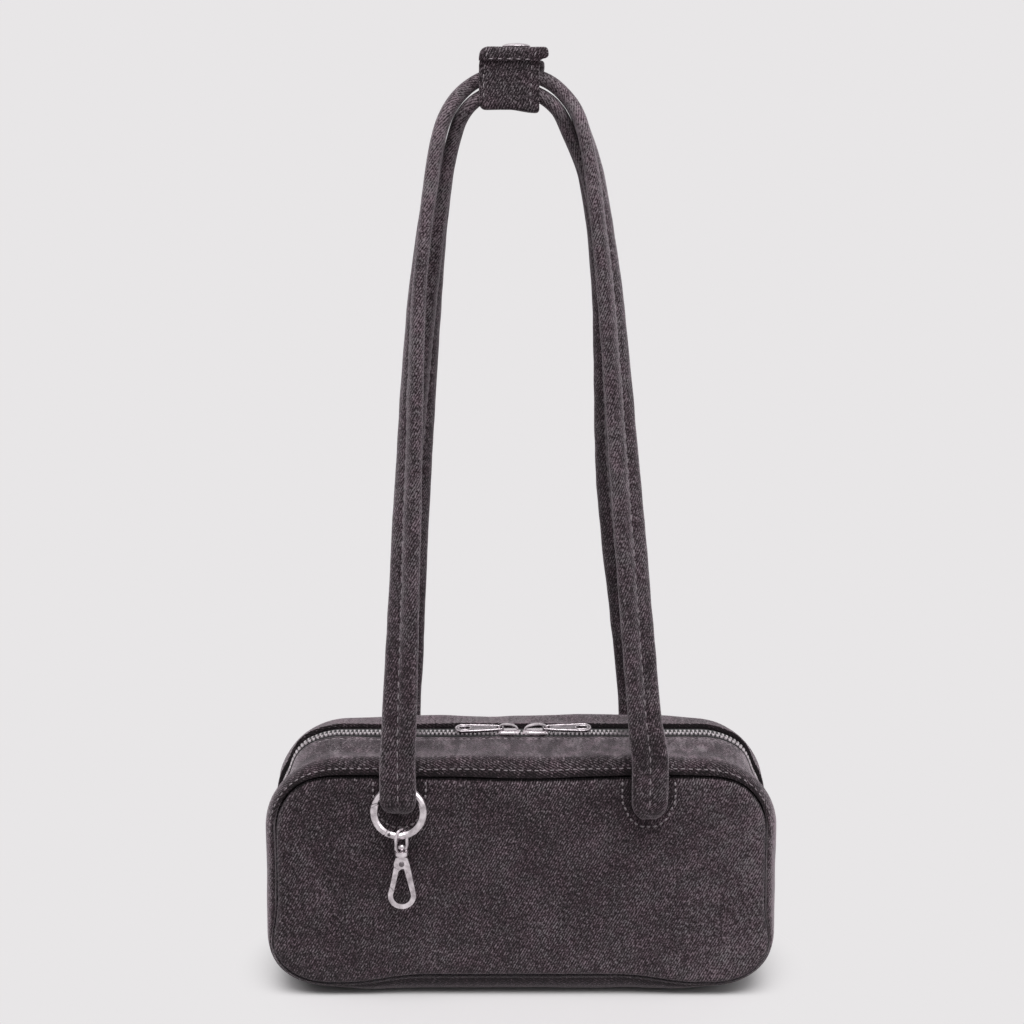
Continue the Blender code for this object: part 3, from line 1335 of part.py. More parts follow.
def swivel_post():
    """The post through the cup, with a round head inside the eye."""
    head_base = CUP_TOP_Z + GAP
    profile = [(POST_RADIUS, HEAD_TOP_Z + GAP), (POST_RADIUS, head_base)]
    for step in range(7):
        angle = -math.pi / 3 + (math.pi / 2 + math.pi / 3 - 0.25) * step / 6
        radius = POST_HEAD_RADIUS * math.cos(angle)
        height = head_base + POST_HEAD_RADIUS * (math.sin(math.pi / 3) + math.sin(angle))
        profile.append((radius, height))
    return add_object("swivel_post", turned("swivel_post", profile, (HOOK_X, HOOK_Y, 0.0), 12), SATIN_METAL)


def gate_edge_x(height):
    """The inner edge of the hook's gate at a height, across from the hook's middle."""
    lean = math.atan2(HOOK_BEND_RADIUS - HOOK_BAR, HOOK_BEND_DROP - HOOK_THROAT_DROP)
    inner = HOOK_BEND_RADIUS - HOOK_BAR / 2
    return -inner * math.cos(lean / 2) + (height - BEND_Z) * math.sin(lean)


def hook_body():
    """The hook: a head with a rivet, the long side, the bend and the nose that the gate meets."""
    inner = HOOK_BEND_RADIUS - HOOK_BAR / 2
    outer = HOOK_BEND_RADIUS + HOOK_BAR / 2
    throat = HOOK_TOP_Z - HOOK_THROAT_DROP
    nose = HOOK_TOP_Z - HOOK_GATE_END_DROP
    lean = math.atan2(HOOK_BEND_RADIUS - HOOK_BAR, HOOK_BEND_DROP - HOOK_THROAT_DROP)
    seam_x = gate_edge_x(throat)
    outline = [
        (-HOOK_HEAD_HALF_WIDTH, HEAD_TOP_Z), (-HOOK_SHOULDER_HALF_WIDTH, RIVET_Z),
        (seam_x - HOOK_BAR, throat + HOOK_HEAD_SEAM_RISE), (seam_x, throat), (HOOK_BAR / 2, throat),
    ]
    outline += arc_points((0.0, BEND_Z), inner, lean, -math.pi - lean / 2, 14)
    outline.append((gate_edge_x(nose), nose))
    outline.append((gate_edge_x(nose + HOOK_NOSE_LIP) - HOOK_BAR, nose + HOOK_NOSE_LIP))
    outline += arc_points((0.0, BEND_Z), outer, -math.pi - lean / 2, lean, 18)
    outline += [(HOOK_SHOULDER_HALF_WIDTH, RIVET_Z), (HOOK_HEAD_HALF_WIDTH, HEAD_TOP_Z)]
    placed = [(HOOK_X + x, z) for x, z in outline]
    plate = prism("hook_body", placed, HOOK_Y - HOOK_THICKNESS / 2, HOOK_Y + HOOK_THICKNESS / 2, "Y")
    slot_end = TONGUE_RADIUS + SEAT_GAP
    slot_outline = [
        (HOOK_X - HOOK_SHOULDER_HALF_WIDTH - OVERRUN, RIVET_Z + slot_end), (HOOK_X + slot_end, RIVET_Z + slot_end),
        (HOOK_X + slot_end, throat - OVERRUN / 2), (HOOK_X - HOOK_SHOULDER_HALF_WIDTH - OVERRUN, throat - OVERRUN / 2),
    ]
    slot = prism("hook_slot", slot_outline, HOOK_Y - HOOK_SLOT / 2, HOOK_Y + HOOK_SLOT / 2, "Y")
    hole = turned("hook_hole", ((RIVET_RADIUS + SEAT_GAP, -HOOK_THICKNESS), (RIVET_RADIUS + SEAT_GAP, HOOK_THICKNESS)),
                  (HOOK_X, HOOK_Y, RIVET_Z), 12, axis="Y")
    return add_object("hook_body", combine("hook_body", plate, [slot, hole], "DIFFERENCE"), SATIN_METAL)


def hook_gate():
    """The sprung gate: a tongue on the rivet and a bar down to the hook's nose."""
    nose = HOOK_TOP_Z - HOOK_GATE_END_DROP + GAP
    lip = nose + HOOK_NOSE_LIP
    top = HOOK_TOP_Z - HOOK_THROAT_DROP - GAP
    top_x = gate_edge_x(top)
    bar = [
        (gate_edge_x(nose), nose), (gate_edge_x(lip) - HOOK_BAR, lip),
        (top_x - HOOK_BAR, top + HOOK_HEAD_SEAM_RISE), (top_x, top),
    ]
    placed = [(HOOK_X + x, z) for x, z in bar]
    body = prism("hook_gate", placed, HOOK_Y - HOOK_THICKNESS / 2, HOOK_Y + HOOK_THICKNESS / 2, "Y")
    tongue = arc_points((HOOK_X, RIVET_Z), TONGUE_RADIUS, -math.pi / 4, math.pi, 8)
    low = top - HOOK_BAR / 2
    tongue += [(HOOK_X + top_x - HOOK_BAR + GAP, low), (HOOK_X + top_x - GAP, low)]
    blade = prism("hook_gate_tongue", tongue, HOOK_Y - HOOK_TONGUE / 2, HOOK_Y + HOOK_TONGUE / 2, "Y")
    hole = turned("hook_gate_hole", ((RIVET_RADIUS + SEAT_GAP, -HOOK_THICKNESS), (RIVET_RADIUS + SEAT_GAP, HOOK_THICKNESS)),
                  (HOOK_X, HOOK_Y, RIVET_Z), 12, axis="Y")
    mesh = combine("hook_gate", body, [blade], "UNION")
    mesh = combine("hook_gate", mesh, [hole], "DIFFERENCE")
    return add_object("hook_gate", mesh, SATIN_METAL)


def hook_rivet():
    """The rivet through the hook's head, with a low head on both faces."""
    half = HOOK_THICKNESS / 2 + GAP
    profile = (
        (RIVET_HEAD_RADIUS * 0.7, -half - RIVET_HEAD), (RIVET_HEAD_RADIUS, -half), (RIVET_RADIUS, -half),
        (RIVET_RADIUS, half), (RIVET_HEAD_RADIUS, half), (RIVET_HEAD_RADIUS * 0.7, half + RIVET_HEAD),
    )
    mesh = turned("hook_rivet", profile, (HOOK_X, HOOK_Y, RIVET_Z), 12, axis="Y")
    return add_object("hook_rivet", mesh, SATIN_METAL)


def build():
    clear_scene()
    main_panel("front_panel", -1)
    main_panel("rear_panel", 1)
    bottom_gusset()
    zip_panel("front_zip_panel", -1)
    zip_panel("rear_zip_panel", 1)
    lining()
    base_board()
    zip_tape("front_zip_tape", -1)
    zip_tape("rear_zip_tape", 1)
    zip_teeth("front_zip_teeth", -1, 0)
    zip_teeth("rear_zip_teeth", 1, 0.5)
    zip_stop("zip_stop_left", -1)
    zip_stop("zip_stop_right", 1)
    slider("slider_left", -1)
    slider("slider_right", 1)
    slider_underside("slider_left_underside", -1)
    slider_underside("slider_right_underside", 1)
    pull("pull_left", -1)
    pull("pull_right", 1)
    straps(-1)
    straps(1)
    handle_stay("front_handle_stay", -1)
    handle_stay("rear_handle_stay", 1)
    keeper_band()
    keeper_flap()
    snap_stud()
    snap_socket()
    snap_cap()
    gate_ring()
    ring_gate()
    ring_pin()
    swivel_eye()
    swivel_post()
    hook_body()
    hook_gate()
    hook_rivet()


build()
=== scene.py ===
"""The looks of a small denim bowler bag: cloth, stitching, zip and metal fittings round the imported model.

All sizes are in metres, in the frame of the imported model: +X right, -Y front, +Z up.
A face is -1 for the front and 1 for the rear; a side is -1 for the left and 1 for the right.
"""
import math

import bmesh
import bpy
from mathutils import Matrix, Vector, noise
from mathutils.bvhtree import BVHTree


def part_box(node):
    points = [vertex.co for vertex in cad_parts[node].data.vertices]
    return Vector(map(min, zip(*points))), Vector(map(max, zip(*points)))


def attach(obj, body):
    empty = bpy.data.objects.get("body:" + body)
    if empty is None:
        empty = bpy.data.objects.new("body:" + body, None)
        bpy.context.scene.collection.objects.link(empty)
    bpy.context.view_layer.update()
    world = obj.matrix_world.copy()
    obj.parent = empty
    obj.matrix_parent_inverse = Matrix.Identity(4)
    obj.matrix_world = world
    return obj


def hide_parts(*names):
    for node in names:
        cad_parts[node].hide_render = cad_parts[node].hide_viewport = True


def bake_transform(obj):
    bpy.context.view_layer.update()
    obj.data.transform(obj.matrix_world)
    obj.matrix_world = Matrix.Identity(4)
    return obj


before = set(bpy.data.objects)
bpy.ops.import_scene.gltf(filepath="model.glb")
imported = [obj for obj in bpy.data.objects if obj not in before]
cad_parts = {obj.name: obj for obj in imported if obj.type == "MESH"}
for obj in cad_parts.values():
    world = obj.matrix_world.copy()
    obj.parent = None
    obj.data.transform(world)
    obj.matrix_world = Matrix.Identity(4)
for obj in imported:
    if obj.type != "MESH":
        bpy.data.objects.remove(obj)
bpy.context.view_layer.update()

# The word for each face in the names of pieces
WORDS = {-1: "front", 1: "rear"}

# Body sizes
GAP = 0.0003
SEAT_GAP = 0.00032
BODY_HALF_WIDTH = 0.141
BODY_HEIGHT = 0.1373
SEAM_HALF_DEPTH = 0.045
TOP_CORNER_RADIUS = 0.040
BASE_CORNER_RADIUS = 0.036
TOP_CROWN = 0.0033
BASE_LIFT = 0.0045
BASE_LIFT_HEIGHT = 0.030
CORNER_PINCH = 0.0050
SEAM_GROOVE = 0.0008
CLOTH = 0.0016
SEAM_TUCK = 0.003
FLANGE_REACH = 0.0032
FLANGE_DEPTH = 0.0406
FLANGE_BACK = 0.0402
ROLL_DEPTH = 0.009
ROLL_DEPTH_AT_BASE = 0.017
ROLL_AT_BASE = 0.0110
ROLL_AT_BASE_CORNER = 0.0018
ROLL_AT_SIDE = 0.0055
ROLL_AT_TOP_CORNER = 0.0052
ROLL_AT_TOP_END = 0.0078
ROLL_AT_TOP = 0.0105
PANEL_PUFF = 0.0008
PANEL_PUFF_WIDTH = 0.0045
PANEL_BULGE = 0.0018
BULGE_HALF_WIDTH = 0.110
BULGE_HALF_HEIGHT = 0.060
PANEL_ROWS = 26
PANEL_LAST_SHARE = 0.985
PUCKER_LENGTH = 0.011
PUCKER_REACH = 0.03
PUCKER_DEPTH = 0.0004
PUCKER_FADE = 0.007
PUCKER_INSET = 0.002
BROAD_WAVE_LENGTH = 0.060
BROAD_WAVE_HEIGHT = 0.085
BROAD_WAVE_DEPTH = 0.0008
FINE_WAVE_LENGTH = 0.022
FINE_WAVE_SLANT = 0.05
FINE_WAVE_HEIGHT = 0.040
FINE_WAVE_DEPTH = 0.00028
WAVE_FADE = 0.02
MOUTH_DROP = 0.0058
LINING_CLEARANCE = 0.0042
LINING_CORNER = 0.012
LINING_THICKNESS = 0.0008
LINING_SHARES = (0.0, 0.05, 0.10, 0.16, 0.30, 0.45, 0.56, 0.66, 0.75, 0.82, 0.92)
LINING_FLOOR_DEPTH = 0.034
LINING_WALL_DEPTH = 0.040
LINING_TOP_DEPTH = 0.028
LINING_LIP_DEPTH = 0.016

# Zip sizes
ZIP_LINE_Y = 0.0025
ZIP_MEET_X = 0.0013
ZIP_MOUTH_HALF_WIDTH = 0.0050
ZIP_END_HEIGHT = 0.092
FOLD_RISE = 0.0006
FOLD_WIDTH = 0.0050
FOLD_LIFTS = {-1: -0.0004, 1: 0.0037}
FOLD_SETBACKS = {-1: 0.0, 1: 0.0050}
FOLD_DROPS = {-1: 0.9 * CLOTH, 1: 0.0031}
FOLD_SECTION = (
    (-0.45, 1.3), (-0.55, 0.95), (-0.30, 0.75), (-1.0, 0.5), (-1.1, 0.25), (-0.6, 0.06), (0.2, 0.0),
)
FOLD_BULGE = 0.0001
FOLD_TURN = 0.0003
TAPE_THICKNESS = 0.0007
TAPE_INNER = 0.0031
TAPE_OUTER = 0.0150
TAPE_HEM = 0.004
TAPE_CORD = 0.0005
REAR_TAPE_DROP = 0.0006
TOOTH_PITCH = 0.0024
TOOTH_HEIGHT = 0.0024
TOOTH_MIDDLE = 0.0012
TOOTH_HEAD_REACH = 0.0010
TOOTH_HEAD_DROP = 0.0003
TOOTH_LEVELS = ((0.0001, 0.8), (0.0004, 1.0), (0.0020, 1.0), (0.0023, 0.8))
TOOTH_HALF = (
    (0.0037, 0.00056), (0.0034, 0.00070), (0.0021, 0.00070), (0.0011, 0.00038), (0.0004, 0.00040),
    (-0.0002, 0.00056), (-0.0006, 0.00036),
)
TOOTH_OUTLINE = (*TOOTH_HALF, *((reach, -half) for reach, half in reversed(TOOTH_HALF)))
STOP_LENGTH = 0.0040
STOP_HALF_WIDTH = 0.0032
STOP_HALF_HEIGHT = 0.0013
CHAIN_LIFT = 0.00255
CHAIN_MARGIN = 0.0008
CHAIN_PROBE = 0.0005
SLIDER_NOSES = {-1: -0.0010, 1: 0.0012}
SLIDER_LENGTHS = {-1: 0.0120, 1: 0.0142}
SLIDER_HALF_WIDTH = 0.0043
SLIDER_FLANGE = 0.0012
SLIDER_PLATE = 0.0008
SLIDER_CLEARANCE = 0.0002
SLIDER_EDGE = 0.0004
SLIDER_DIP = 0.0005
SLIDER_FRONT_WALL = 0.0022
SLIDER_REAR_WALL = 0.0007
SLIDER_SHARES = (0.0, 0.03, 0.08, 0.16, 0.28, 0.45, 0.65, 0.82, 0.92, 0.97, 1.0)
SLIDER_WIDTHS = (0.50, 0.62, 0.74, 0.86, 0.96, 1.0, 1.0, 0.98, 0.92, 0.85, 0.75)
CROWN_SCALES = {-1: 1.0, 1: 1.2}
CROWN_HALF_WIDTH = 0.0013
CROWN_BELLY = 0.0005
CROWN_THICKNESS = 0.0009
CROWN_PATH = (
    (0.0003, 0.1384), (0.0008, 0.1402), (0.0022, 0.1418), (0.0046, 0.1428),
    (0.0074, 0.1431), (0.0098, 0.1426), (0.0114, 0.1413), (0.0118, 0.1395),
)
CROWN_SECTION = (
    (-1.0, -0.6), (-1.0, 0.3), (-0.7, 0.9), (0.0, 1.1), (0.7, 0.9), (1.0, 0.3), (1.0, -0.6), (0.7, -1.0),
    (-0.7, -1.0),
)
PULL_AXIS_X = 0.0094
PULL_LENGTH = 0.0293
PULL_THICKNESS = 0.0013
PULL_END_RADIUS = 0.0045
PULL_NECK = ((0.0016, -0.0022), (0.0022, -0.0030), (0.0100, -0.0035))
PULL_HOLE = (0.0237, 0.0030, 0.0017, 0.8)
PULL_EYELET = (0.0237, 0.0035, 0.0022, 0.8)
PULL_WINDOW = (0.0041, 0.0015, 0.0020, 0.6)
PULL_EDGE = 0.0002
PULL_RIM_INSET = 0.0006
PULL_RIM_RADIUS = 0.00037
PULL_RIM_SINK = 0.00015
PULL_PITCHES = {-1: math.radians(-0.8), 1: math.radians(0.3)}
PULL_ROLL = math.radians(5)
PULL_TWIST = math.radians(6)
PULL_TWIST_PLACE = (0.0055, 0.0055)

# Strap, keeper and ring sizes
STRAP_WIDTH = 0.0196
STRAP_THICKNESS = 0.0076
STRAP_HALF_SPACING = 0.0681
STRAP_SHIFTS = {-1: 0.0016, 1: -0.0005}
STRAP_TOP_HEIGHT = 0.5048
STRAP_NEST = 0.0086
STRAP_GROOVE = 0.66
STRAP_ROW_STEP = 0.0025
STRAP_SEAM_INSET = 0.010
STRAP_TIP_FADE = 0.022
STRAP_CURL_RISE = 0.0090
ARCH_SHIFT = -0.0050
ARCH_HALF_WIDTH = 0.0392
ARCH_RISE = 0.0410
FLEX_BOTTOM_HEIGHT = 0.1400
FLEX_TOP_HEIGHT = 0.1585
RING_STRAP_STAND_OFF = 0.0156
PLAIN_STRAP_STAND_OFF = 0.0090
RING_STRAP_TIP_HEIGHT = 0.1103
PLAIN_STRAP_TIP_HEIGHT = 0.1060
KEEPER_WIDTH = 0.032
KEEPER_X = -0.0065
KEEPER_CLOTH = 0.0015
KEEPER_LAYER_HEIGHT = 0.5125
KEEPER_BACK_TOP = 0.5110
KEEPER_CORNER = 0.0048
KEEPER_BEND = 0.0022
KEEPER_STEP = 0.0012
KEEPER_HALF_DEPTH = STRAP_WIDTH / 2 + SEAT_GAP + KEEPER_CLOTH / 2
FLAP_TOP_HEIGHT = 0.5168
FLAP_LIP = 0.0065
WRAP_RIGHT_CORNER = 0.0020
WRAP_LOW_CORNER = 0.0036
WRAP_LEFT_RISE = 0.0008
WRAP_RIGHT_FALL = 0.0018
WRAP_SLOPE = (0.016, 0.014)
TAB_TOP_CORNER = 0.0024
TAB_LOW_CORNER = 0.0030
TAB_LIFT = 0.0010
TAB_LIFT_RUN = 0.002
TAB_CURL = 0.0008
TAB_CURL_RUN = 0.003
UNDER_FOLD_FRONT = -0.0070
UNDER_FOLD_LENGTH = 0.0170
UNDER_FOLD_MIDDLE = 0.5072
UNDER_FOLD_INSET = 0.0004
UNDER_FOLD_HALF_WIDTH = 0.0032
UNDER_FOLD_HALF_HEIGHT = 0.0034
SNAP_X = -0.0027
SNAP_RIM = ((0.0068, 0.0), (0.0074, 0.0002), (0.0075, 0.0006), (0.0072, 0.0009), (0.0067, 0.00085))
SNAP_DOME_RADIUS = 0.0066
SNAP_DOME_FOOT = 0.0009
SNAP_DOME_RISE = 0.0011
SNAP_TIP_RADIUS = 0.00002
RING_X = -0.0665
RING_Y = -0.0551
RING_CENTRE_HEIGHT = 0.1108
RING_RADIUS = 0.0134
RING_WIRE_RADIUS = 0.0022
GATE_END_ANGLE = math.radians(156)
GATE_SEAM_PROFILE = ((-0.00025, 0.0), (-0.0002, 0.00006), (0.0002, 0.00006), (0.00025, 0.0))
EASED_EDGES = {"swivel_eye": 0.00012, "hook_body": 0.0005, "hook_gate": 0.0004}
EASED_SEGMENTS = 3
EASED_ANGLE = math.radians(35)
WELD_DISTANCE = 0.00001
CLOTH_SHARP_DEGREES = 60.0
METAL_SHARP_DEGREES = 50.0

# Camera, fitted to the photograph, and light
IMAGE_SIZE = 1024
SENSOR_WIDTH = 36.0
FOCAL_PIXELS = 2140.0
CAMERA_PLACE = (-0.005, -1.164, 0.490)
CAMERA_PITCH = math.radians(10.9)
LAMPS = (("key", (0.02, -0.40, 1.0), 2.45, 44.0), ("side", (0.85, -0.45, 0.45), 0.38, 26.0))
FLOOR_HALF_SIZE = 6.0
SHADOW_HALF_LENGTH = 0.122
SHADOW_HALF_DEPTH = 0.096
SHADOW_FADE = (1.0, 1.36)
BACKDROP_TINT = (232, 230, 231)
FLOOR_TINT = (190, 189, 189)
FAR_FLOOR_GLOW = 0.4
FILL_COLOUR = (1.0, 0.985, 0.995, 1.0)
FILL_STRENGTH = 0.26

# Strap shapes, as shares of the sizes that they follow
LEG_RISE_SHARES = (0.0, 0.345, 0.654, 0.835)
LEG_DEPTH_SHARES = (1.0, 0.655, 0.345, 0.178)
LEG_SPREADS = {
    (-1, -1): (0.986, 0.918, 0.843, 0.729),
    (-1, 1): (0.959, 0.811, 0.678, 0.557),
    (1, -1): (0.978, 0.857, 0.708, 0.595),
    (1, 1): (0.971, 0.759, 0.675, 0.535),
}
LEG_TWISTS = {
    (-1, -1): (0.20, 0.53, 0.84, 1.0),
    (-1, 1): (0.20, 0.41, 0.61, 0.80),
    (1, -1): (0.20, 0.53, 0.84, 1.0),
    (1, 1): (0.20, 0.46, 0.70, 0.92),
}
LEG_THICKNESS_SHARES = (0.85, 1.0, 1.0, 1.0)
ARCH_ANGLES = tuple(math.radians(angle) for angle in (18, 40, 62))
ARCH_DEPTH_SHARES = (0.110, 0.012, 0.0)
ARCH_NEST_SHARES = (0.90, 0.92, 0.98)
CURL_ANGLES = tuple(math.radians(angle) for angle in (0, 30, 60, 90))
CURL_WIDTH_SHARES = (0.50, 0.62, 0.88, 1.0)
CURL_THICKNESS_SHARES = (0.50, 0.55, 0.60, 0.62)
STRAP_QUARTER = (
    (0.0, 0.66), (0.09, 0.78), (0.26, 0.95), (0.50, 1.0), (0.74, 0.90), (0.93, 0.55), (1.0, 0.0),
)
STRAP_HALF = (*STRAP_QUARTER, *((x, -y) for x, y in STRAP_QUARTER[-2::-1]))
STRAP_SECTION_SHARES = (*STRAP_HALF, *((-x, y) for x, y in STRAP_HALF[-2:0:-1]))
STRAP_GROOVE_REACH = 0.30
STRAP_FLAT_LEVEL = 0.95

# Top strips: the ridge's lift and the sag behind it at places along X, and columns of the section
RIDGE_LIFTS = {
    -1: ((-0.140, 0.0), (-0.118, 0.0004), (-0.085, 0.0008), (-0.050, 0.0), (0.0, -0.0004), (0.060, 0.0003),
         (0.100, 0.0002), (0.140, 0.0)),
    1: ((-0.140, 0.0), (-0.100, 0.0008), (-0.055, 0.0017), (-0.0165, 0.0004), (0.0, 0.0011),
        (0.043, 0.0020), (0.077, 0.0023), (0.112, 0.0010), (0.140, 0.0)),
}
SAGS = {
    -1: ((-0.140, 0.0), (-0.115, 0.0016), (-0.085, 0.0020), (-0.055, 0.0010), (-0.020, 0.0002),
         (0.040, 0.0004), (0.090, 0.0010), (0.120, 0.0008), (0.140, 0.0)),
    1: ((-0.140, 0.0), (-0.080, 0.0006), (0.0, 0.0009), (0.080, 0.0004), (0.140, 0.0)),
}
RIDGE_SPREAD = 0.28
SAG_PLACE = 0.62
SAG_SPREAD = 0.24
FOLD_SPREAD = 0.42
# Columns of the section that carry painted light and shade: a painted highlight along the ridge's crease,
# painted shade on the fold's face, and painted shade in the seam's groove by steps from the seam.
RIDGE_COLUMN = 15
FOLD_FACE_COLUMN = 28
SEAM_SHADES = (1.5, 1.5, 1.5, 1.3, 0.9, 0.5, 0.25)

# Places and widths of smooth changes along an axis, from where the change starts
BASE_LIFT_ALONG = (0.080, 0.035)
BASE_LIFT_BACK = (0.026, 0.012)
PINCH_TOP = (0.133, 0.016)
PINCH_FOOT = (0.082, 0.016)
LINING_PINCH = (0.075, 0.02)
TOP_LIFT_NEAR = (0.100, 0.030)
# Where painted light and shade change: painted shade on the top corners and under the base, painted rim
# light on the side ridges, painted light and shade on the top strips, and painted light towards the panels'
# right and higher up the straps.
CORNER_SHADE_ALONG = (0.100, 0.035)
CORNER_SHADE_UP = (0.085, 0.04)
BASE_SHADE = (0.013, 0.010)
SIDE_RIM_LIGHT_ALONG = (0.128, 0.010)
SIDE_RIM_LIGHT_UP = (0.015, 0.02)
STRIP_TOP = (0.110, 0.02)
STRIP_RIGHT = (0.03, 0.05)
STRIP_BACK = (-0.030, 0.01)
STRIP_ROLL = (-0.036, 0.004)
PANEL_LIGHT_TO_RIGHT = (0.04, 0.10)
STRAP_PAINTED_LIGHTS = ((0.45, 0.17), (0.6, 0.36))
STRAP_PAINTED_LIGHT_RISE = 0.12
KEEPER_SHOULDER = (0.497, 0.012)
KEEPER_HANG = (0.495, 0.008)

# Waves (length, amount, seed) of the cloth's unevenness
BODY_RIPPLES = ((0.045, 0.0007, 0.3), (0.016, 0.0003, 1.7))
STRAP_RIPPLES = ((0.012, 0.00028, 4.0), (0.030, 0.0003, 7.0))
KEEPER_RIPPLES = ((0.010, 0.0003, 2.0),)

# Weave and stitches
TWILL_PITCH_MM = 1.335
TWILL_LEAN = math.radians(61)
WEAVE_MAP = "weave"
MILLIMETRES = (1000.0, 1000.0, 1.0)
DENIM_TONES = (
    (0.0, (13, 7, 10)), (0.28, (36, 27, 31)), (0.50, (61, 50, 55)), (0.74, (97, 85, 91)),
    (1.0, (152, 139, 145)),
)
DENIM_TINTS = ((0.36, (0.94, 1.01, 0.98, 1.0)), (0.64, (1.05, 0.98, 1.02, 1.0)))
METAL_PAINTED_SHADE = (0.40, 0.39, 0.40, 1.0)
STITCH_LENGTH = 0.0026
STITCH_PITCH = 0.0042
STITCH_RADIUS = 0.00030
SHORTEST_STITCH = 0.000001
STITCH_ANGLES = [math.pi / 3 * place for place in range(6)]
STITCH_RINGS = (
    (0.0, 0.35, -0.9), (0.12, 0.8, -0.1), (0.35, 1.0, 0.35), (0.65, 1.0, 0.35), (0.88, 0.8, -0.1),
    (1.0, 0.35, -0.9),
)
STRAP_STITCHES = {"pitch": 0.0062, "stitch": 0.0040}
END_STITCHES = {"pitch": 0.0034, "stitch": 0.0022, "radius": 0.00050}
END_SEAM_HALF_WIDTH = 0.0143
END_SEAM_TOP_MARGIN = 0.0015
END_SEAM_SHOULDER = 0.0073
END_SEAM_RING_DROP = 0.0045
END_SEAM_CURVE = (
    (0.0122, 0.0027), (0.0106, -0.0014), (0.0084, -0.0037), (0.0056, -0.0057), (0.0029, -0.0066),
    (0.0, -0.0066),
)
END_SHADE_HALF_WIDTH = 0.0080
END_SHADE_DROP = 0.0060
END_SHADE_FADE = 0.0052
ROLL_SEAM_ANGLE = math.radians(24)
TOP_SEAM_MARGIN = 0.003
SKIN_REACH = 0.004


def smooth_step(share):
    share = min(max(share, 0.0), 1.0)
    return share * share * (3 - 2 * share)


def step_up(value, start, width):
    """0 up to the start, 1 from a width above it."""
    return smooth_step((value - start) / width)


def step_down(value, start, width):
    """0 down to the start, 1 from a width below it."""
    return smooth_step((start - value) / width)


def bell(value, width):
    """1 at zero, falling off smoothly to both sides."""
    return math.exp(-(value / width) ** 2)


def by_table(table, value):
    """A smooth value between the rows (place, value) of a table."""
    for (start, low), (end, high) in zip(table, table[1:]):
        if value <= end:
            return low + (high - low) * smooth_step((value - start) / (end - start))
    return table[-1][1]


def uneven(*place):
    """Smooth unevenness from -1 to 1 at a place."""
    return noise.noise(Vector(place))


def ripple(point, waves):
    """Smooth unevenness of the cloth at a point."""
    total = 0.0
    for length, amount, seed in waves:
        spot = Vector((point[0] + seed, point[1] - seed, point[2] + 2 * seed)) / length
        total += noise.noise(spot) * amount
    return total


def linear(value):
    value = value / 255
    return value / 12.92 if value <= 0.04045 else ((value + 0.055) / 1.055) ** 2.4


def colour(red, green, blue):
    """A screen colour from 0 to 255 as the shader's linear colour."""
    return (linear(red), linear(green), linear(blue), 1.0)


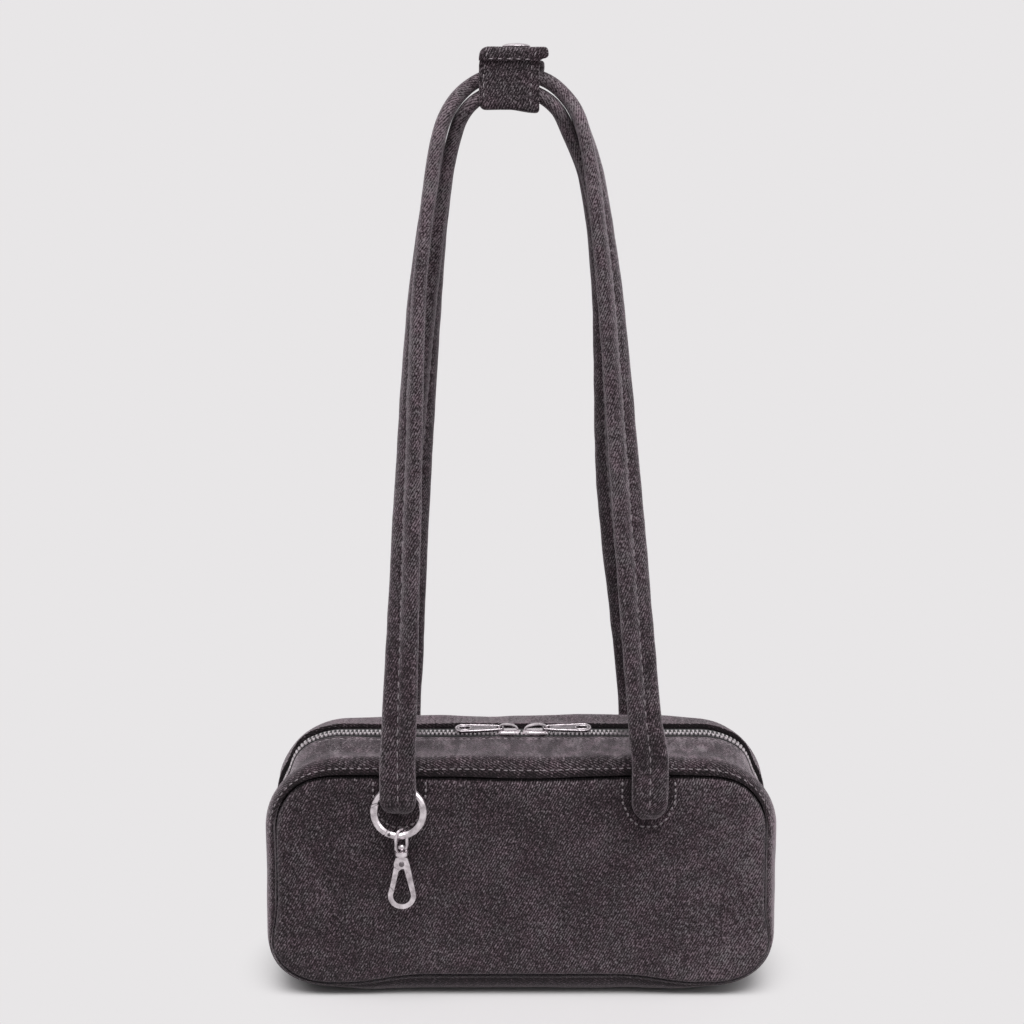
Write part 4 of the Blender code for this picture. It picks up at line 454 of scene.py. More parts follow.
class Graph:
    """The nodes of a material or of the world, with short calls for the kinds used here."""

    def __init__(self, owner):
        self.owner = owner
        owner.use_nodes = True
        self.tree = owner.node_tree

    def node(self, kind, *values, **settings):
        """A new node with its settings, and with values or links for its first inputs."""
        made = self.tree.nodes.new(kind)
        for key, value in settings.items():
            setattr(made, key, value)
        for socket, value in zip(made.inputs, values):
            self.put(socket, value)
        return made

    def put(self, socket, value):
        if isinstance(value, bpy.types.NodeSocket):
            self.tree.links.new(value, socket)
        else:
            socket.default_value = value

    def on_cloth(self):
        return self.node("ShaderNodeUVMap", uv_map=WEAVE_MAP).outputs["UV"]

    def on_object(self):
        return self.node("ShaderNodeTexCoord").outputs["Object"]

    # The attribute that the pieces set per vertex: real wear together with painted light and painted shade.
    def wear_and_painted_light(self):
        return self.node("ShaderNodeAttribute", attribute_name="wear_and_painted_light").outputs["Fac"]

    def math(self, operation, first, second=0.0):
        return self.node("ShaderNodeMath", first, second, operation=operation).outputs[0]

    def add(self, first, second):
        return self.math("ADD", first, second)

    def times(self, first, second):
        return self.math("MULTIPLY", first, second)

    def wave(self, place, pitch):
        return self.math("SINE", self.times(place, math.tau / pitch))

    def split(self, vector):
        return self.node("ShaderNodeSeparateXYZ", vector).outputs

    def mapped(self, vector, scale, turn=0.0):
        shift = (0.0, 0.0, 0.0)
        return self.node("ShaderNodeMapping", vector, shift, (0.0, 0.0, turn), scale).outputs["Vector"]

    def noise(self, vector, scale, detail=2.0):
        made = self.node("ShaderNodeTexNoise", vector)
        made.inputs["Scale"].default_value = scale
        made.inputs["Detail"].default_value = detail
        return made.outputs["Fac"]

    def between(self, value, ends, results=(0.0, 1.0), **settings):
        return self.node("ShaderNodeMapRange", value, *ends, *results, **settings).outputs["Result"]

    def ramp(self, share, stops):
        made = self.node("ShaderNodeValToRGB", share)
        points = made.color_ramp.elements
        points[0].position, points[0].color = stops[0]
        points[1].position, points[1].color = stops[-1]
        for place, tint in stops[1:-1]:
            points.new(place).color = tint
        return made.outputs["Color"]

    def mix(self, share, first, second, blend="MIX"):
        made = self.node("ShaderNodeMix", data_type="RGBA", blend_type=blend)
        for socket, value in ((0, share), (6, first), (7, second)):
            self.put(made.inputs[socket], value)
        return made.outputs[2]

    def light(self, kind, *values):
        """A shader's output, from the values of its first inputs."""
        return self.node("ShaderNode" + kind, *values).outputs[0]

    def sees_backdrop(self):
        """1 for the rays that see the plain backdrop: those of the camera, of gloss and of transmission."""
        rays = self.node("ShaderNodeLightPath").outputs
        seen = self.math("MAXIMUM", rays["Is Camera Ray"], rays["Is Glossy Ray"])
        return self.math("MAXIMUM", seen, rays["Is Transmission Ray"])

    def finish(self, height, depth, strength, **values):
        """Sets the surface: a height with its bump's depth and strength, and the shader's values."""
        made = self.node("ShaderNodeBump")
        self.put(made.inputs["Height"], height)
        made.inputs["Distance"].default_value = depth
        made.inputs["Strength"].default_value = strength
        shader = self.tree.nodes["Principled BSDF"]
        for name, value in (("Normal", made.outputs["Normal"]), *values.items()):
            self.put(shader.inputs[name.replace("_", " ")], value)
        return self.owner

    def finish_plain(self, level, ends, dark, light, depth, strength, **values):
        """Sets a surface whose shade and height both follow one level."""
        shade = self.ramp(level, ((ends[0], colour(*dark)), (ends[1], colour(*light))))
        return self.finish(level, depth, strength, Base_Color=shade, **values)


def new_material(name):
    return Graph(bpy.data.materials.new(name))


def denim():
    """Washed charcoal denim: light weft flecks in twill lines on dark warp, with worn and faded patches,
    and the wear and painted light and shade that each piece sets per vertex.
    """
    graph = new_material("washed_denim")
    cloth = graph.on_cloth()
    place = graph.on_object()
    lines = graph.mapped(cloth, MILLIMETRES, math.pi / 2 - TWILL_LEAN)
    wander = graph.times(graph.noise(graph.mapped(lines, (1.0, 0.35, 1.0)), 0.16), 1.1)
    wave = graph.wave(graph.add(graph.split(lines)["X"], wander), TWILL_PITCH_MM)
    fleck = graph.noise(graph.mapped(lines, (1.35, 0.75, 1.0)), 1.0, 1.0)
    grain = graph.noise(lines, 2.6, 1.0)
    yarn = graph.noise(graph.mapped(cloth, (1000.0, 45.0, 1.0)), 0.9)
    patch = graph.noise(place, 26.0, 3.0)
    fade = graph.noise(place, 95.0)
    slub = graph.noise(graph.mapped(place, (620.0, 170.0, 420.0)), 1.0)
    level = graph.times(wave, graph.add(graph.times(patch, 0.3), 0.06))
    parts = ((fleck, 1.8), (grain, 1.25), (yarn, 0.25), (slub, 1.05), (patch, 0.25), (fade, 0.26))
    for part, amount in parts:
        level = graph.add(level, graph.times(graph.math("SUBTRACT", part, 0.5), amount))
    # The per-vertex attribute lightens or darkens the cloth: real wear, painted highlights and painted
    # shade.
    level = graph.add(graph.add(level, graph.times(graph.wear_and_painted_light(), 0.22)), 0.448)
    tone = graph.ramp(level, [(share, colour(*tint)) for share, tint in DENIM_TONES])
    tint = graph.ramp(graph.noise(place, 110.0), DENIM_TINTS)
    return graph.finish(
        graph.add(level, graph.times(grain, 0.3)), 0.00045, 0.55,
        Base_Color=graph.mix(1.0, tone, tint, "MULTIPLY"), Roughness=0.88, Specular_IOR_Level=0.25,
        Sheen_Weight=0.75, Sheen_Roughness=0.38, Sheen_Tint=(0.90, 0.80, 0.86, 1.0),
    )


def thread():
    """Tone-on-tone grey sewing thread, with its ply twisted along it."""
    graph = new_material("grey_thread")
    speck = graph.noise(graph.on_object(), 1400.0, 1.0)
    return graph.finish_plain(speck, (0.3, 0.7), (124, 114, 119), (182, 172, 177), 0.0001, 0.5,
                              Roughness=0.7, Sheen_Weight=0.3, Sheen_Roughness=0.4)


def tape_cloth():
    """Woven black zip tape, ribbed along its length."""
    graph = new_material("woven_tape")
    place = graph.split(graph.mapped(graph.on_cloth(), MILLIMETRES))
    ribs = graph.times(graph.wave(place["X"], 0.8), 0.25)
    picks = graph.times(graph.wave(place["Y"], 0.5), 0.2)
    level = graph.add(graph.add(ribs, picks), 0.5)
    return graph.finish_plain(level, (0.1, 0.9), (14, 12, 14), (38, 34, 37), 0.0002, 0.5,
                              Roughness=0.8, Sheen_Weight=0.2, Sheen_Roughness=0.5)


def lining_cloth():
    """Smooth dark twill for the lining and the stays."""
    graph = new_material("lining_twill")
    lines = graph.mapped(graph.on_cloth(), MILLIMETRES, math.pi / 4)
    level = graph.add(graph.times(graph.wave(graph.split(lines)["X"], 0.7), 0.3), graph.noise(lines, 0.4))
    return graph.finish_plain(level, (0.1, 0.9), (30, 28, 30), (66, 61, 65), 0.0001, 0.4,
                              Roughness=0.7, Sheen_Weight=0.25, Sheen_Roughness=0.4)


def metal(name, bright, dull, low, high):
    """Plated metal with a satin grain, fine scratches, and a painted darkening where the attribute is set,
    in place of dark reflections.
    """
    graph = new_material(name)
    place = graph.on_object()
    cloud = graph.noise(place, 260.0, 3.0)
    scratch = graph.noise(graph.mapped(place, (900.0, 900.0, 6000.0)), 1.0)
    shade = graph.ramp(cloud, ((0.3, colour(*dull)), (0.7, colour(*bright))))
    # Painted shade: where the attribute is set, the metal is darkened in place of dark reflections.
    shade = graph.mix(graph.wear_and_painted_light(), shade, graph.mix(1.0, shade, METAL_PAINTED_SHADE, "MULTIPLY"))
    grain = graph.add(graph.times(cloud, 0.6), graph.times(scratch, 0.4))
    roughness = graph.between(grain, (0.3, 0.7), (low, high))
    return graph.finish(scratch, 0.00004, 0.35, Base_Color=shade, Metallic=1.0, Roughness=roughness)


def board_finish():
    """Pressed fibre board."""
    graph = new_material("stiff_board")
    fibre = graph.noise(graph.on_object(), 900.0, 3.0)
    return graph.finish_plain(fibre, (0.3, 0.7), (82, 76, 70), (108, 101, 93), 0.0001, 0.4, Roughness=0.8)


DENIM = denim()
THREAD = thread()
TAPE = tape_cloth()
LINING_CLOTH = lining_cloth()
SATIN = metal("satin_silver", (238, 230, 234), (170, 162, 166), 0.18, 0.36)
ZIP_METAL = metal("zip_silver", (244, 238, 241), (206, 198, 202), 0.22, 0.40)
PIN_METAL = metal("aged_pin", (128, 121, 125), (88, 82, 85), 0.40, 0.55)
BOARD = board_finish()


def add_object(name, data):
    made = bpy.data.objects.new(name, data)
    bpy.context.scene.collection.objects.link(made)
    return made


def add_mesh(name, work, finish, sharp=None):
    """An object from bmesh data, its faces turned outward, smooth shaded up to an angle in degrees."""
    bmesh.ops.recalc_face_normals(work, faces=work.faces)
    mesh = bpy.data.meshes.new(name)
    work.to_mesh(mesh)
    work.free()
    mesh.materials.append(finish)
    mesh.shade_smooth()
    if sharp:
        mesh.set_sharp_from_angle(angle=math.radians(sharp))
    return add_object(name, mesh)


def dress(piece, body, slot, *nodes):
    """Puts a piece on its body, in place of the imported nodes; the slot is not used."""
    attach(piece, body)
    if nodes:
        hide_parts(*nodes)
    return piece


def surface(name, rows, finish, places=None, wrap=True, caps=True, wear_and_painted_light=None, sharp=CLOTH_SHARP_DEGREES):
    """A skin through rows of points; places holds each point's place on the flat cloth, in metres."""
    mapped = places is not None
    if not mapped:
        places = cloth_places(rows, wrap)
    work = bmesh.new()
    weave = work.loops.layers.uv.new(WEAVE_MAP)
    # Each vertex's wear and painted light or shade, read by the cloth and metal shaders.
    wear_and_light_layer = work.verts.layers.float.new("wear_and_painted_light")
    count = len(rows[0])
    grid = [[work.verts.new(point) for point in row] for row in rows]
    if wear_and_painted_light:
        for row, line in enumerate(grid):
            for column, vert in enumerate(line):
                vert[wear_and_light_layer] = wear_and_painted_light(row, column)
    for row in range(len(rows) - 1):
        for column in range(count if wrap else count - 1):
            after = (column + 1) % count
            corners = ((row, column, column), (row, after, column + 1),
                       (row + 1, after, column + 1), (row + 1, column, column))
            face = work.faces.new([grid[r][c] for r, c, _ in corners])
            for loop, (r, _, shift) in zip(face.loops, corners):
                loop[weave].uv = places[r][shift]
    if caps:
        columns = list(range(count))
        for row, order in ((0, columns), (len(rows) - 1, columns[::-1])):
            face = work.faces.new([grid[row][column] for column in order])
            for loop, column in zip(face.loops, order):
                loop[weave].uv = places[row][column]
            bmesh.ops.triangulate(work, faces=[face], ngon_method="BEAUTY")
    bmesh.ops.recalc_face_normals(work, faces=work.faces)
    if not mapped and sum(uv_area(face, weave) for face in work.faces) < 0:
        for face in work.faces:
            for loop in face.loops:
                loop[weave].uv.x *= -1
    return add_mesh(name, work, finish, sharp)


def uv_area(face, layer):
    total = 0.0
    spots = [loop[layer].uv for loop in face.loops]
    for here, after in zip(spots, spots[1:] + spots[:1]):
        total += here.x * after.y - here.y * after.x
    return total


def cloth_places(rows, wrap):
    """Places on the flat cloth from distances round each row and between the rows."""
    places = []
    along = 0.0
    before = None
    for row in rows:
        middle = sum(row, Vector()) / len(row)
        if before is not None:
            along += (middle - before).length
        before = middle
        around = 0.0
        line = [(0.0, along)]
        for here, after in zip(row, row[1:] + (row[:1] if wrap else [])):
            around += (after - here).length
            line.append((around, along))
        places.append(line)
    return places


def close_rings(work, rings):
    """Walls between rings of vertices, and a cap at each end."""
    for low, high in zip(rings, rings[1:]):
        for place in range(len(low)):
            after = (place + 1) % len(low)
            work.faces.new((low[place], low[after], high[after], high[place]))
    work.faces.new(rings[0])
    work.faces.new(reversed(rings[-1]))


def squared_round(count, power, half_length, half_width):
    """Places round an oval that gets squarer with a smaller power."""
    spots = []
    for turn in range(count):
        angle = math.tau * turn / count
        along, across = math.cos(angle), math.sin(angle)
        spots.append((math.copysign(abs(along) ** power, along) * half_length,
                      math.copysign(abs(across) ** power, across) * half_width))
    return spots


# The bag's outline from the front, by length from the middle of the base to the middle of the top
BASE_RUN = BODY_HALF_WIDTH - BASE_CORNER_RADIUS
BASE_ARC = math.pi / 2 * BASE_CORNER_RADIUS
SIDE_RUN = BODY_HEIGHT - BASE_CORNER_RADIUS - TOP_CORNER_RADIUS
TOP_ARC = math.pi / 2 * TOP_CORNER_RADIUS
TOP_RUN = BODY_HALF_WIDTH - TOP_CORNER_RADIUS
SIDE_START = BASE_RUN + BASE_ARC
TOP_ARC_START = SIDE_START + SIDE_RUN
TOP_START = TOP_ARC_START + TOP_ARC
HALF_OUTLINE = TOP_START + TOP_RUN
ZIP_END = SIDE_START + ZIP_END_HEIGHT - BASE_CORNER_RADIUS
RIDGE_DEPTH = SEAM_HALF_DEPTH - ROLL_DEPTH
PANEL_MIDDLE_HEIGHT = BODY_HEIGHT / 2
PANEL_CORE_HALF_LENGTH = BODY_HALF_WIDTH - BODY_HEIGHT / 2
OUTLINE_STEP = 0.0026
BASE_CORNER_REACH = 0.026
ROLLS = (
    (0.0, ROLL_AT_BASE),
    (BASE_RUN / 2, ROLL_AT_BASE),
    (BASE_RUN + BASE_ARC / 4, 1.6 * ROLL_AT_BASE_CORNER),
    (BASE_RUN + 3 * BASE_ARC / 4, ROLL_AT_BASE_CORNER),
    (SIDE_START + SIDE_RUN / 3, ROLL_AT_SIDE),
    (TOP_ARC_START, ROLL_AT_SIDE),
    (TOP_ARC_START + TOP_ARC / 2, ROLL_AT_TOP_CORNER),
    (TOP_START, ROLL_AT_TOP_END),
    (HALF_OUTLINE, ROLL_AT_TOP),
)


def settle(x, y, z):
    """Lowers the top towards the bag's ends, but not the zip line, and lifts the base's corners."""
    reach = (abs(y - ZIP_LINE_Y) - ZIP_MOUTH_HALF_WIDTH) / RIDGE_DEPTH
    drop = TOP_CROWN * smooth_step(reach) * (x / BODY_HALF_WIDTH) ** 2 * (z / BODY_HEIGHT) ** 3
    low = max(0.0, 1 - z / BASE_LIFT_HEIGHT) ** 2
    lift = BASE_LIFT * low * step_up(abs(x), *BASE_LIFT_ALONG) * step_up(abs(y), *BASE_LIFT_BACK)
    return Vector((x, y, z - drop + lift))


def outline_at(length):
    """The outline's point (x, z) and outward direction at a length along its right half."""
    if length <= BASE_RUN:
        return (length, 0.0), (0.0, -1.0)
    if length <= SIDE_START:
        angle = -math.pi / 2 + (length - BASE_RUN) / BASE_CORNER_RADIUS
        centre = (BASE_RUN, BASE_CORNER_RADIUS)
        radius = BASE_CORNER_RADIUS
    elif length <= TOP_ARC_START:
        return (BODY_HALF_WIDTH, BASE_CORNER_RADIUS + length - SIDE_START), (1.0, 0.0)
    elif length <= TOP_START:
        angle = (length - TOP_ARC_START) / TOP_CORNER_RADIUS
        centre = (TOP_RUN, BODY_HEIGHT - TOP_CORNER_RADIUS)
        radius = TOP_CORNER_RADIUS
    else:
        return (TOP_RUN - (length - TOP_START), BODY_HEIGHT), (0.0, 1.0)
    out = (math.cos(angle), math.sin(angle))
    return (centre[0] + radius * out[0], centre[1] + radius * out[1]), out


def base_corner(length):
    """1 at the middle of the base's corner, falling to 0 on the base and on the side."""
    return bell(length - BASE_RUN - BASE_ARC / 2, BASE_CORNER_REACH)


def even_lengths(start, end):
    count = math.ceil((end - start) / OUTLINE_STEP)
    return [start + (end - start) * number / count for number in range(count + 1)]


def stations_over_top():
    """Stations (length, side) from the zip's right end over the top to its left end."""
    lengths = even_lengths(ZIP_END + GAP, HALF_OUTLINE)
    return [(length, 1) for length in lengths] + [(length, -1) for length in lengths[-2::-1]]


def station_at(length):
    """The station at a length that may run on over the middle of the top to the left half."""
    return (length, 1) if length <= HALF_OUTLINE else (2 * HALF_OUTLINE - length, -1)


def outward(station):
    """The outward direction at a station."""
    out_x, out_z = outline_at(station[0])[1]
    return Vector((station[1] * out_x, 0.0, out_z))


def corner_pinch(y, z):
    """How far the cloth is drawn in at the top corners, between the ridges of the rolls."""
    across = 1 - min(abs(y) / RIDGE_DEPTH, 1.0) ** 2
    return CORNER_PINCH * across * step_down(z, *PINCH_TOP) * step_up(z, *PINCH_FOOT)


def body_point(station, inward, y):
    """A settled point of the body at a station, a distance in from the outline, at a depth y."""
    length, side = station
    (x, z), (out_x, out_z) = outline_at(length)
    inward += corner_pinch(y, z)
    return settle(side * (x - out_x * inward), y, z - out_z * inward)


def soft_body_point(station, inward, y):
    """A body point with the slight unevenness of padded cloth."""
    point = body_point(station, inward, y)
    return point + outward(station) * ripple(point, BODY_RIPPLES)


def roll_profile(length, wall, steps):
    """Points (inward, depth) on the edge roll at a length, from the seam to the ridge."""
    roll = by_table(ROLLS, length)
    reach = roll_depth_at(length)
    wall = min(wall, 1.5 * roll ** 2 / reach)
    points = []
    for step in range(steps + 1):
        angle = math.pi / 2 * step / steps
        points.append((wall + (roll - 2 * wall) * (1 - math.sin(angle)),
                       SEAM_HALF_DEPTH - reach + (reach - wall) * math.cos(angle)))
    return points


def roll_depth_at(length):
    """How far the edge roll reaches in from the seam's plane: furthest under the base."""
    share = step_up(length, BASE_RUN, BASE_ARC + SIDE_RUN / 3)
    return ROLL_DEPTH_AT_BASE + (ROLL_DEPTH - ROLL_DEPTH_AT_BASE) * share


def rolled_skin(length):
    """The outer section of a roll, from the flange behind the panel's edge to the ridge."""
    roll = by_table(ROLLS, length)
    flange = [(roll + FLANGE_REACH, FLANGE_DEPTH), (roll + GAP, FLANGE_DEPTH + GAP)]
    return flange + roll_profile(length, 0.0, 14)


def rolled_back(length):
    """The inner section of a roll, from the flange to the ridge."""
    return [(by_table(ROLLS, length), FLANGE_BACK), *roll_profile(length, CLOTH, 6)]


def ridge_wear_and_painted_light(point):
    """How light or dark the rolls are: faded along the ridge, partly real wear and partly painted
    highlight; painted shade on the top corners, a painted shadow under the base, and a painted rim light on
    the side ridges, brighter on the right.
    """
    ridge = bell(abs(point.y) - SEAM_HALF_DEPTH + 0.6 * ROLL_DEPTH, ROLL_DEPTH / 2)
    # Painted shade on the top corners of the rolls, and a painted rim light along the ridges of the sides.
    corner = step_up(abs(point.x), *CORNER_SHADE_ALONG) * step_up(point.z, *CORNER_SHADE_UP)
    edge = step_up(abs(point.x), *SIDE_RIM_LIGHT_ALONG) * step_up(point.z, *SIDE_RIM_LIGHT_UP) * (1 - corner)
    right = 1.0 if point.x > 0 else 0.0
    value = 0.35 * ridge * (0.6 + 0.8 * noise.noise(point * 70.0)) - (0.45 + 0.9 * right) * corner * ridge
    # A painted shadow along the bottom of the base.
    return value - 1.8 * step_down(point.z, *BASE_SHADE) + edge * ridge * (2.6 + 2.4 * right)


def seam_shade(place):
    """How much darker the cloth is at a number of steps from the seam."""
    return SEAM_SHADES[place] if 0 <= place < len(SEAM_SHADES) else 0.0


def bottom_gusset():
    """The strip round the sides and base, with a soft roll along both seams."""
    lengths = even_lengths(0.0, ZIP_END)
    stations = [(length, -1) for length in reversed(lengths)] + [(length, 1) for length in lengths[1:]]
    rows = []
    for station in stations:
        ridge = SEAM_HALF_DEPTH - roll_depth_at(station[0])
        outer = rolled_skin(station[0]) + [(0.0, share * ridge) for share in (0.8, 0.6, 0.4, 0.2)]
        inner = rolled_back(station[0])
        section = [(inward, -depth) for inward, depth in outer] + [(0.0, 0.0)] + outer[::-1]
        section += inner + [(inward, -depth) for inward, depth in reversed(inner)]
        rows.append([soft_body_point(station, inward, y) for inward, y in section])
    last = 2 * len(outer)

    def wear_and_painted_light(row, column):
        # Painted shade in the grooves of both seams, weaker at the base's corners.
        shade = seam_shade(column) + seam_shade(last - column)
        return ridge_wear_and_painted_light(rows[row][column]) - shade * (1 - 0.75 * base_corner(stations[row][0]))

    dress(surface("body_gusset", rows, DENIM, wear_and_painted_light=wear_and_painted_light), "bag", "denim", "bottom_gusset")


def fold_mouth(face):
    """The depth of a strip's folded edge from the middle of the bag."""
    return ZIP_MOUTH_HALF_WIDTH + face * ZIP_LINE_Y


def top_point(station, inward, depth, face):
    """A point of a top strip: lifted at the ridge, sagging behind it, and lifted at the zip's fold."""
    point = soft_body_point(station, inward, face * depth)
    mouth = fold_mouth(face)
    share = (depth - mouth) / (RIDGE_DEPTH - mouth)
    ridge = by_table(RIDGE_LIFTS[face], point.x) * bell(share - 1, RIDGE_SPREAD)
    sag = by_table(SAGS[face], point.x) * bell(share - SAG_PLACE, SAG_SPREAD)
    fold = FOLD_LIFTS[face] * bell(max(share, 0.0), FOLD_SPREAD)
    return point + outward(station) * (step_up(point.z, *TOP_LIFT_NEAR) * (ridge - sag) + fold)


def zip_panel(face):
    """A top strip from the zip's folded edge over the ridge to the seam."""
    mouth = fold_mouth(face) + FOLD_SETBACKS[face]
    flat = mouth + 2 * FOLD_WIDTH
    drop = FOLD_DROPS[face]
    rows = []
    for station in stations_over_top():
        outer = rolled_skin(station[0])
        outer += [(0.0, RIDGE_DEPTH + (flat - RIDGE_DEPTH) * share) for share in (0.2, 0.4, 0.6, 0.8, 1.0)]
        outer += [(rise * FOLD_RISE, mouth + back * FOLD_WIDTH) for rise, back in FOLD_SECTION]
        outer += [(drop / 2, mouth - FOLD_BULGE), (drop, mouth + FOLD_TURN)]
        inner = [(drop, mouth + FOLD_WIDTH / 4), (CLOTH, mouth + 0.6 * FOLD_WIDTH)]
        inner += [(CLOTH, flat + (RIDGE_DEPTH - flat) * share) for share in (0.0, 0.2, 0.4, 0.6, 0.8)]
        inner += reversed(rolled_back(station[0]))
        rows.append([top_point(station, inward, depth, face) for inward, depth in outer + inner])

    def wear_and_painted_light(row, column):
        point = rows[row][column]
        value = ridge_wear_and_painted_light(point) - seam_shade(column)
        # Painted light falls on the tops of the strips.
        top = step_up(point.z, *STRIP_TOP)
        # The rear strip: painted light on its top, less towards the right, and painted shade on the face of
        # its fold.
        if face > 0:
            fold_shade = 3.0 if column >= FOLD_FACE_COLUMN else 0.0
            return value + (1.6 - 0.9 * step_up(point.x, 0.0, 0.03)) * top - fold_shade
        # The front strip: a painted highlight along the crease at the ridge on the left, a painted
        # highlight near the fold on the right, painted shade on the front roll, and real mottling on top.
        crease_highlight = bell(column - RIDGE_COLUMN, 0.8) * step_down(point.x, -0.030, 0.02)
        right = step_up(point.x, *STRIP_RIGHT) * step_up(point.y, *STRIP_BACK)
        roll = step_down(point.y, *STRIP_ROLL)
        blotch = 2.8 * uneven(point.x / 0.0055, point.y / 0.011, 4.7)
        return value + top * (1.2 * crease_highlight + 0.6 * right - 0.5 * roll + blotch * (1 - 0.8 * roll))

    piece = surface(WORDS[face] + "_top_strip", rows, DENIM, wear_and_painted_light=wear_and_painted_light)
    return dress(piece, "bag", "denim", WORDS[face] + "_zip_panel")


def panel_bulge(x, z):
    """How far the stuffed panel stands out of the seam plane at a place."""
    across = min(abs(x) / BULGE_HALF_WIDTH, 1.0)
    up = min(abs(z - PANEL_MIDDLE_HEIGHT) / BULGE_HALF_HEIGHT, 1.0)
    return PANEL_PUFF + PANEL_BULGE * (1 - across ** 2) * (1 - up ** 2)


def sewn_end(face, side):
    """The middle, the tip's height and the stand-off of a strap's sewn end."""
    middle = side * STRAP_HALF_SPACING + STRAP_SHIFTS[face]
    if (face, side) == (-1, -1):
        return middle, RING_STRAP_TIP_HEIGHT, RING_STRAP_STAND_OFF
    return middle, PLAIN_STRAP_TIP_HEIGHT, PLAIN_STRAP_STAND_OFF


def strap_shade(point, face):
    """How much darker the panel is close to a sewn strap end."""
    shade = 0.0
    for side in (-1, 1):
        middle, tip, _ = sewn_end(face, side)
        aside = max(abs(point.x - middle) - END_SHADE_HALF_WIDTH, 0.0)
        below = max(tip + END_SHADE_DROP - point.z, 0.0)
        shade = max(shade, 1.3 * math.exp(-((aside ** 2 + below ** 2) / END_SHADE_FADE ** 2) ** 2))
    return shade


def main_panel(face):
    """The front or rear panel, tucked and puckered into its seam, with broad soft waves."""
    lengths = even_lengths(0.0, HALF_OUTLINE)
    stations = [(length, 1) for length in lengths] + [(length, -1) for length in reversed(lengths[1:-1])]

    def outer_point(station, inset, share):
        length, side = station
        high = step_up(length, TOP_ARC_START, TOP_ARC)
        groove = SEAM_GROOVE * (1 + 0.8 * high - 0.8 * base_corner(length))
        inward = by_table(ROLLS, length) + GAP + groove + inset
        x, _, z = body_point(station, inward, face * SEAM_HALF_DEPTH)
        core_x = min(max(x, -PANEL_CORE_HALF_LENGTH), PANEL_CORE_HALF_LENGTH)
        x += (core_x - x) * share
        z += (PANEL_MIDDLE_HEIGHT - z) * share
        rise = 1 - (1 - inset / PANEL_PUFF_WIDTH) ** 2
        depth = SEAM_HALF_DEPTH - SEAM_TUCK + (SEAM_TUCK + panel_bulge(x, z)) * math.sqrt(rise)
        reach = inset + share * PANEL_MIDDLE_HEIGHT
        pucker = uneven(length * side / PUCKER_LENGTH, 3.1 * face, reach / PUCKER_REACH)
        depth += pucker * PUCKER_DEPTH * math.exp(-reach / PUCKER_FADE) * min(1.0, inset / PUCKER_INSET)
        waves = uneven(x / BROAD_WAVE_LENGTH, z / BROAD_WAVE_HEIGHT, 1.9 * face) * BROAD_WAVE_DEPTH
        slanted = x / FINE_WAVE_LENGTH + z / FINE_WAVE_SLANT
        waves += uneven(slanted, z / FINE_WAVE_HEIGHT, 5.3 * face) * FINE_WAVE_DEPTH
        return Vector((x, face * (depth + waves * smooth_step(reach / WAVE_FADE)), z))

    edge = [(PANEL_PUFF_WIDTH * (1 - math.cos(math.pi / 2 * step / 8)), 0.0) for step in range(9)]
    shares = [number / PANEL_ROWS for number in range(1, PANEL_ROWS)]
    middle = [(PANEL_PUFF_WIDTH, share) for share in [*shares, PANEL_LAST_SHARE]]
    front_rows = [[outer_point(station, inset, share) for station in stations]
                  for inset, share in edge + middle]
    inward = Vector((0.0, -face * CLOTH, 0.0))
    tuck = face * (SEAM_HALF_DEPTH - SEAM_TUCK)
    back_rows = [[point + inward for point in front_rows[place]] for place in (-1, 20, 10)]
    back_rows.append([body_point(station, by_table(ROLLS, station[0]) + GAP + CLOTH, tuck)
                      for station in stations])
    rows = back_rows + front_rows
    places = [[(-face * point.x, point.z) for point in [*row, row[0]]] for row in rows]

    def wear_and_painted_light(row, column):
        point = rows[row][column]
        # Random faint fading, and painted light that brightens the panel towards its right.
        value = 0.25 * max(0.0, noise.noise(point * 45.0)) + 0.60 * step_up(point.x, *PANEL_LIGHT_TO_RIGHT)
        # Painted shade in the groove along the seam, weaker at the base's corners; then the painted shadows
        # of the strap ends.
        if row - len(back_rows) < 3:
            value -= 1.4 * (1 - 0.9 * base_corner(stations[column][0]))
        return value - strap_shade(point, face)

    piece = surface(WORDS[face] + "_body_panel", rows, DENIM, places=places, wear_and_painted_light=wear_and_painted_light)
    return dress(piece, "bag", "denim", WORDS[face] + "_panel")


def zip_tape(face):
    """Woven tape under the folded edge, with a corded inner edge."""
    low = CLOTH + GAP
    high = low - CHAIN_LIFT
    outer = low if face < 0 else high + REAR_TAPE_DROP
    cord = TAPE_CORD
    hem = TAPE_OUTER - TAPE_HEM
    section = (
        (high + cord / 2, TAPE_INNER), (high, TAPE_INNER + cord),
        (high + cord / 2, TAPE_INNER + 1.8 * cord), (outer, TAPE_INNER + 3.6 * cord),
        (outer, hem), (low, TAPE_OUTER), (low + TAPE_THICKNESS, TAPE_OUTER), (outer + TAPE_THICKNESS, hem),
        (outer + TAPE_THICKNESS, TAPE_INNER + 3.0 * cord),
        (high + TAPE_THICKNESS + cord / 2, TAPE_INNER + cord), (high + TAPE_THICKNESS, TAPE_INNER),
    )
    rows = [[body_point(station, inward, ZIP_LINE_Y + face * depth) for inward, depth in section]
            for station in stations_over_top()]
    dress(surface(WORDS[face] + "_woven_tape", rows, TAPE), "bag", "zip_tape", WORDS[face] + "_zip_tape")


TAPE_MIDDLE = CLOTH + GAP + TAPE_THICKNESS / 2 - CHAIN_LIFT
TEETH_TOP = TAPE_MIDDLE - TOOTH_HEIGHT / 2
CHAIN_TOP = BODY_HEIGHT - TEETH_TOP
CHAIN_START = ZIP_END + STOP_LENGTH + 2 * GAP
CHAIN_LENGTH = 2 * (HALF_OUTLINE - CHAIN_START)


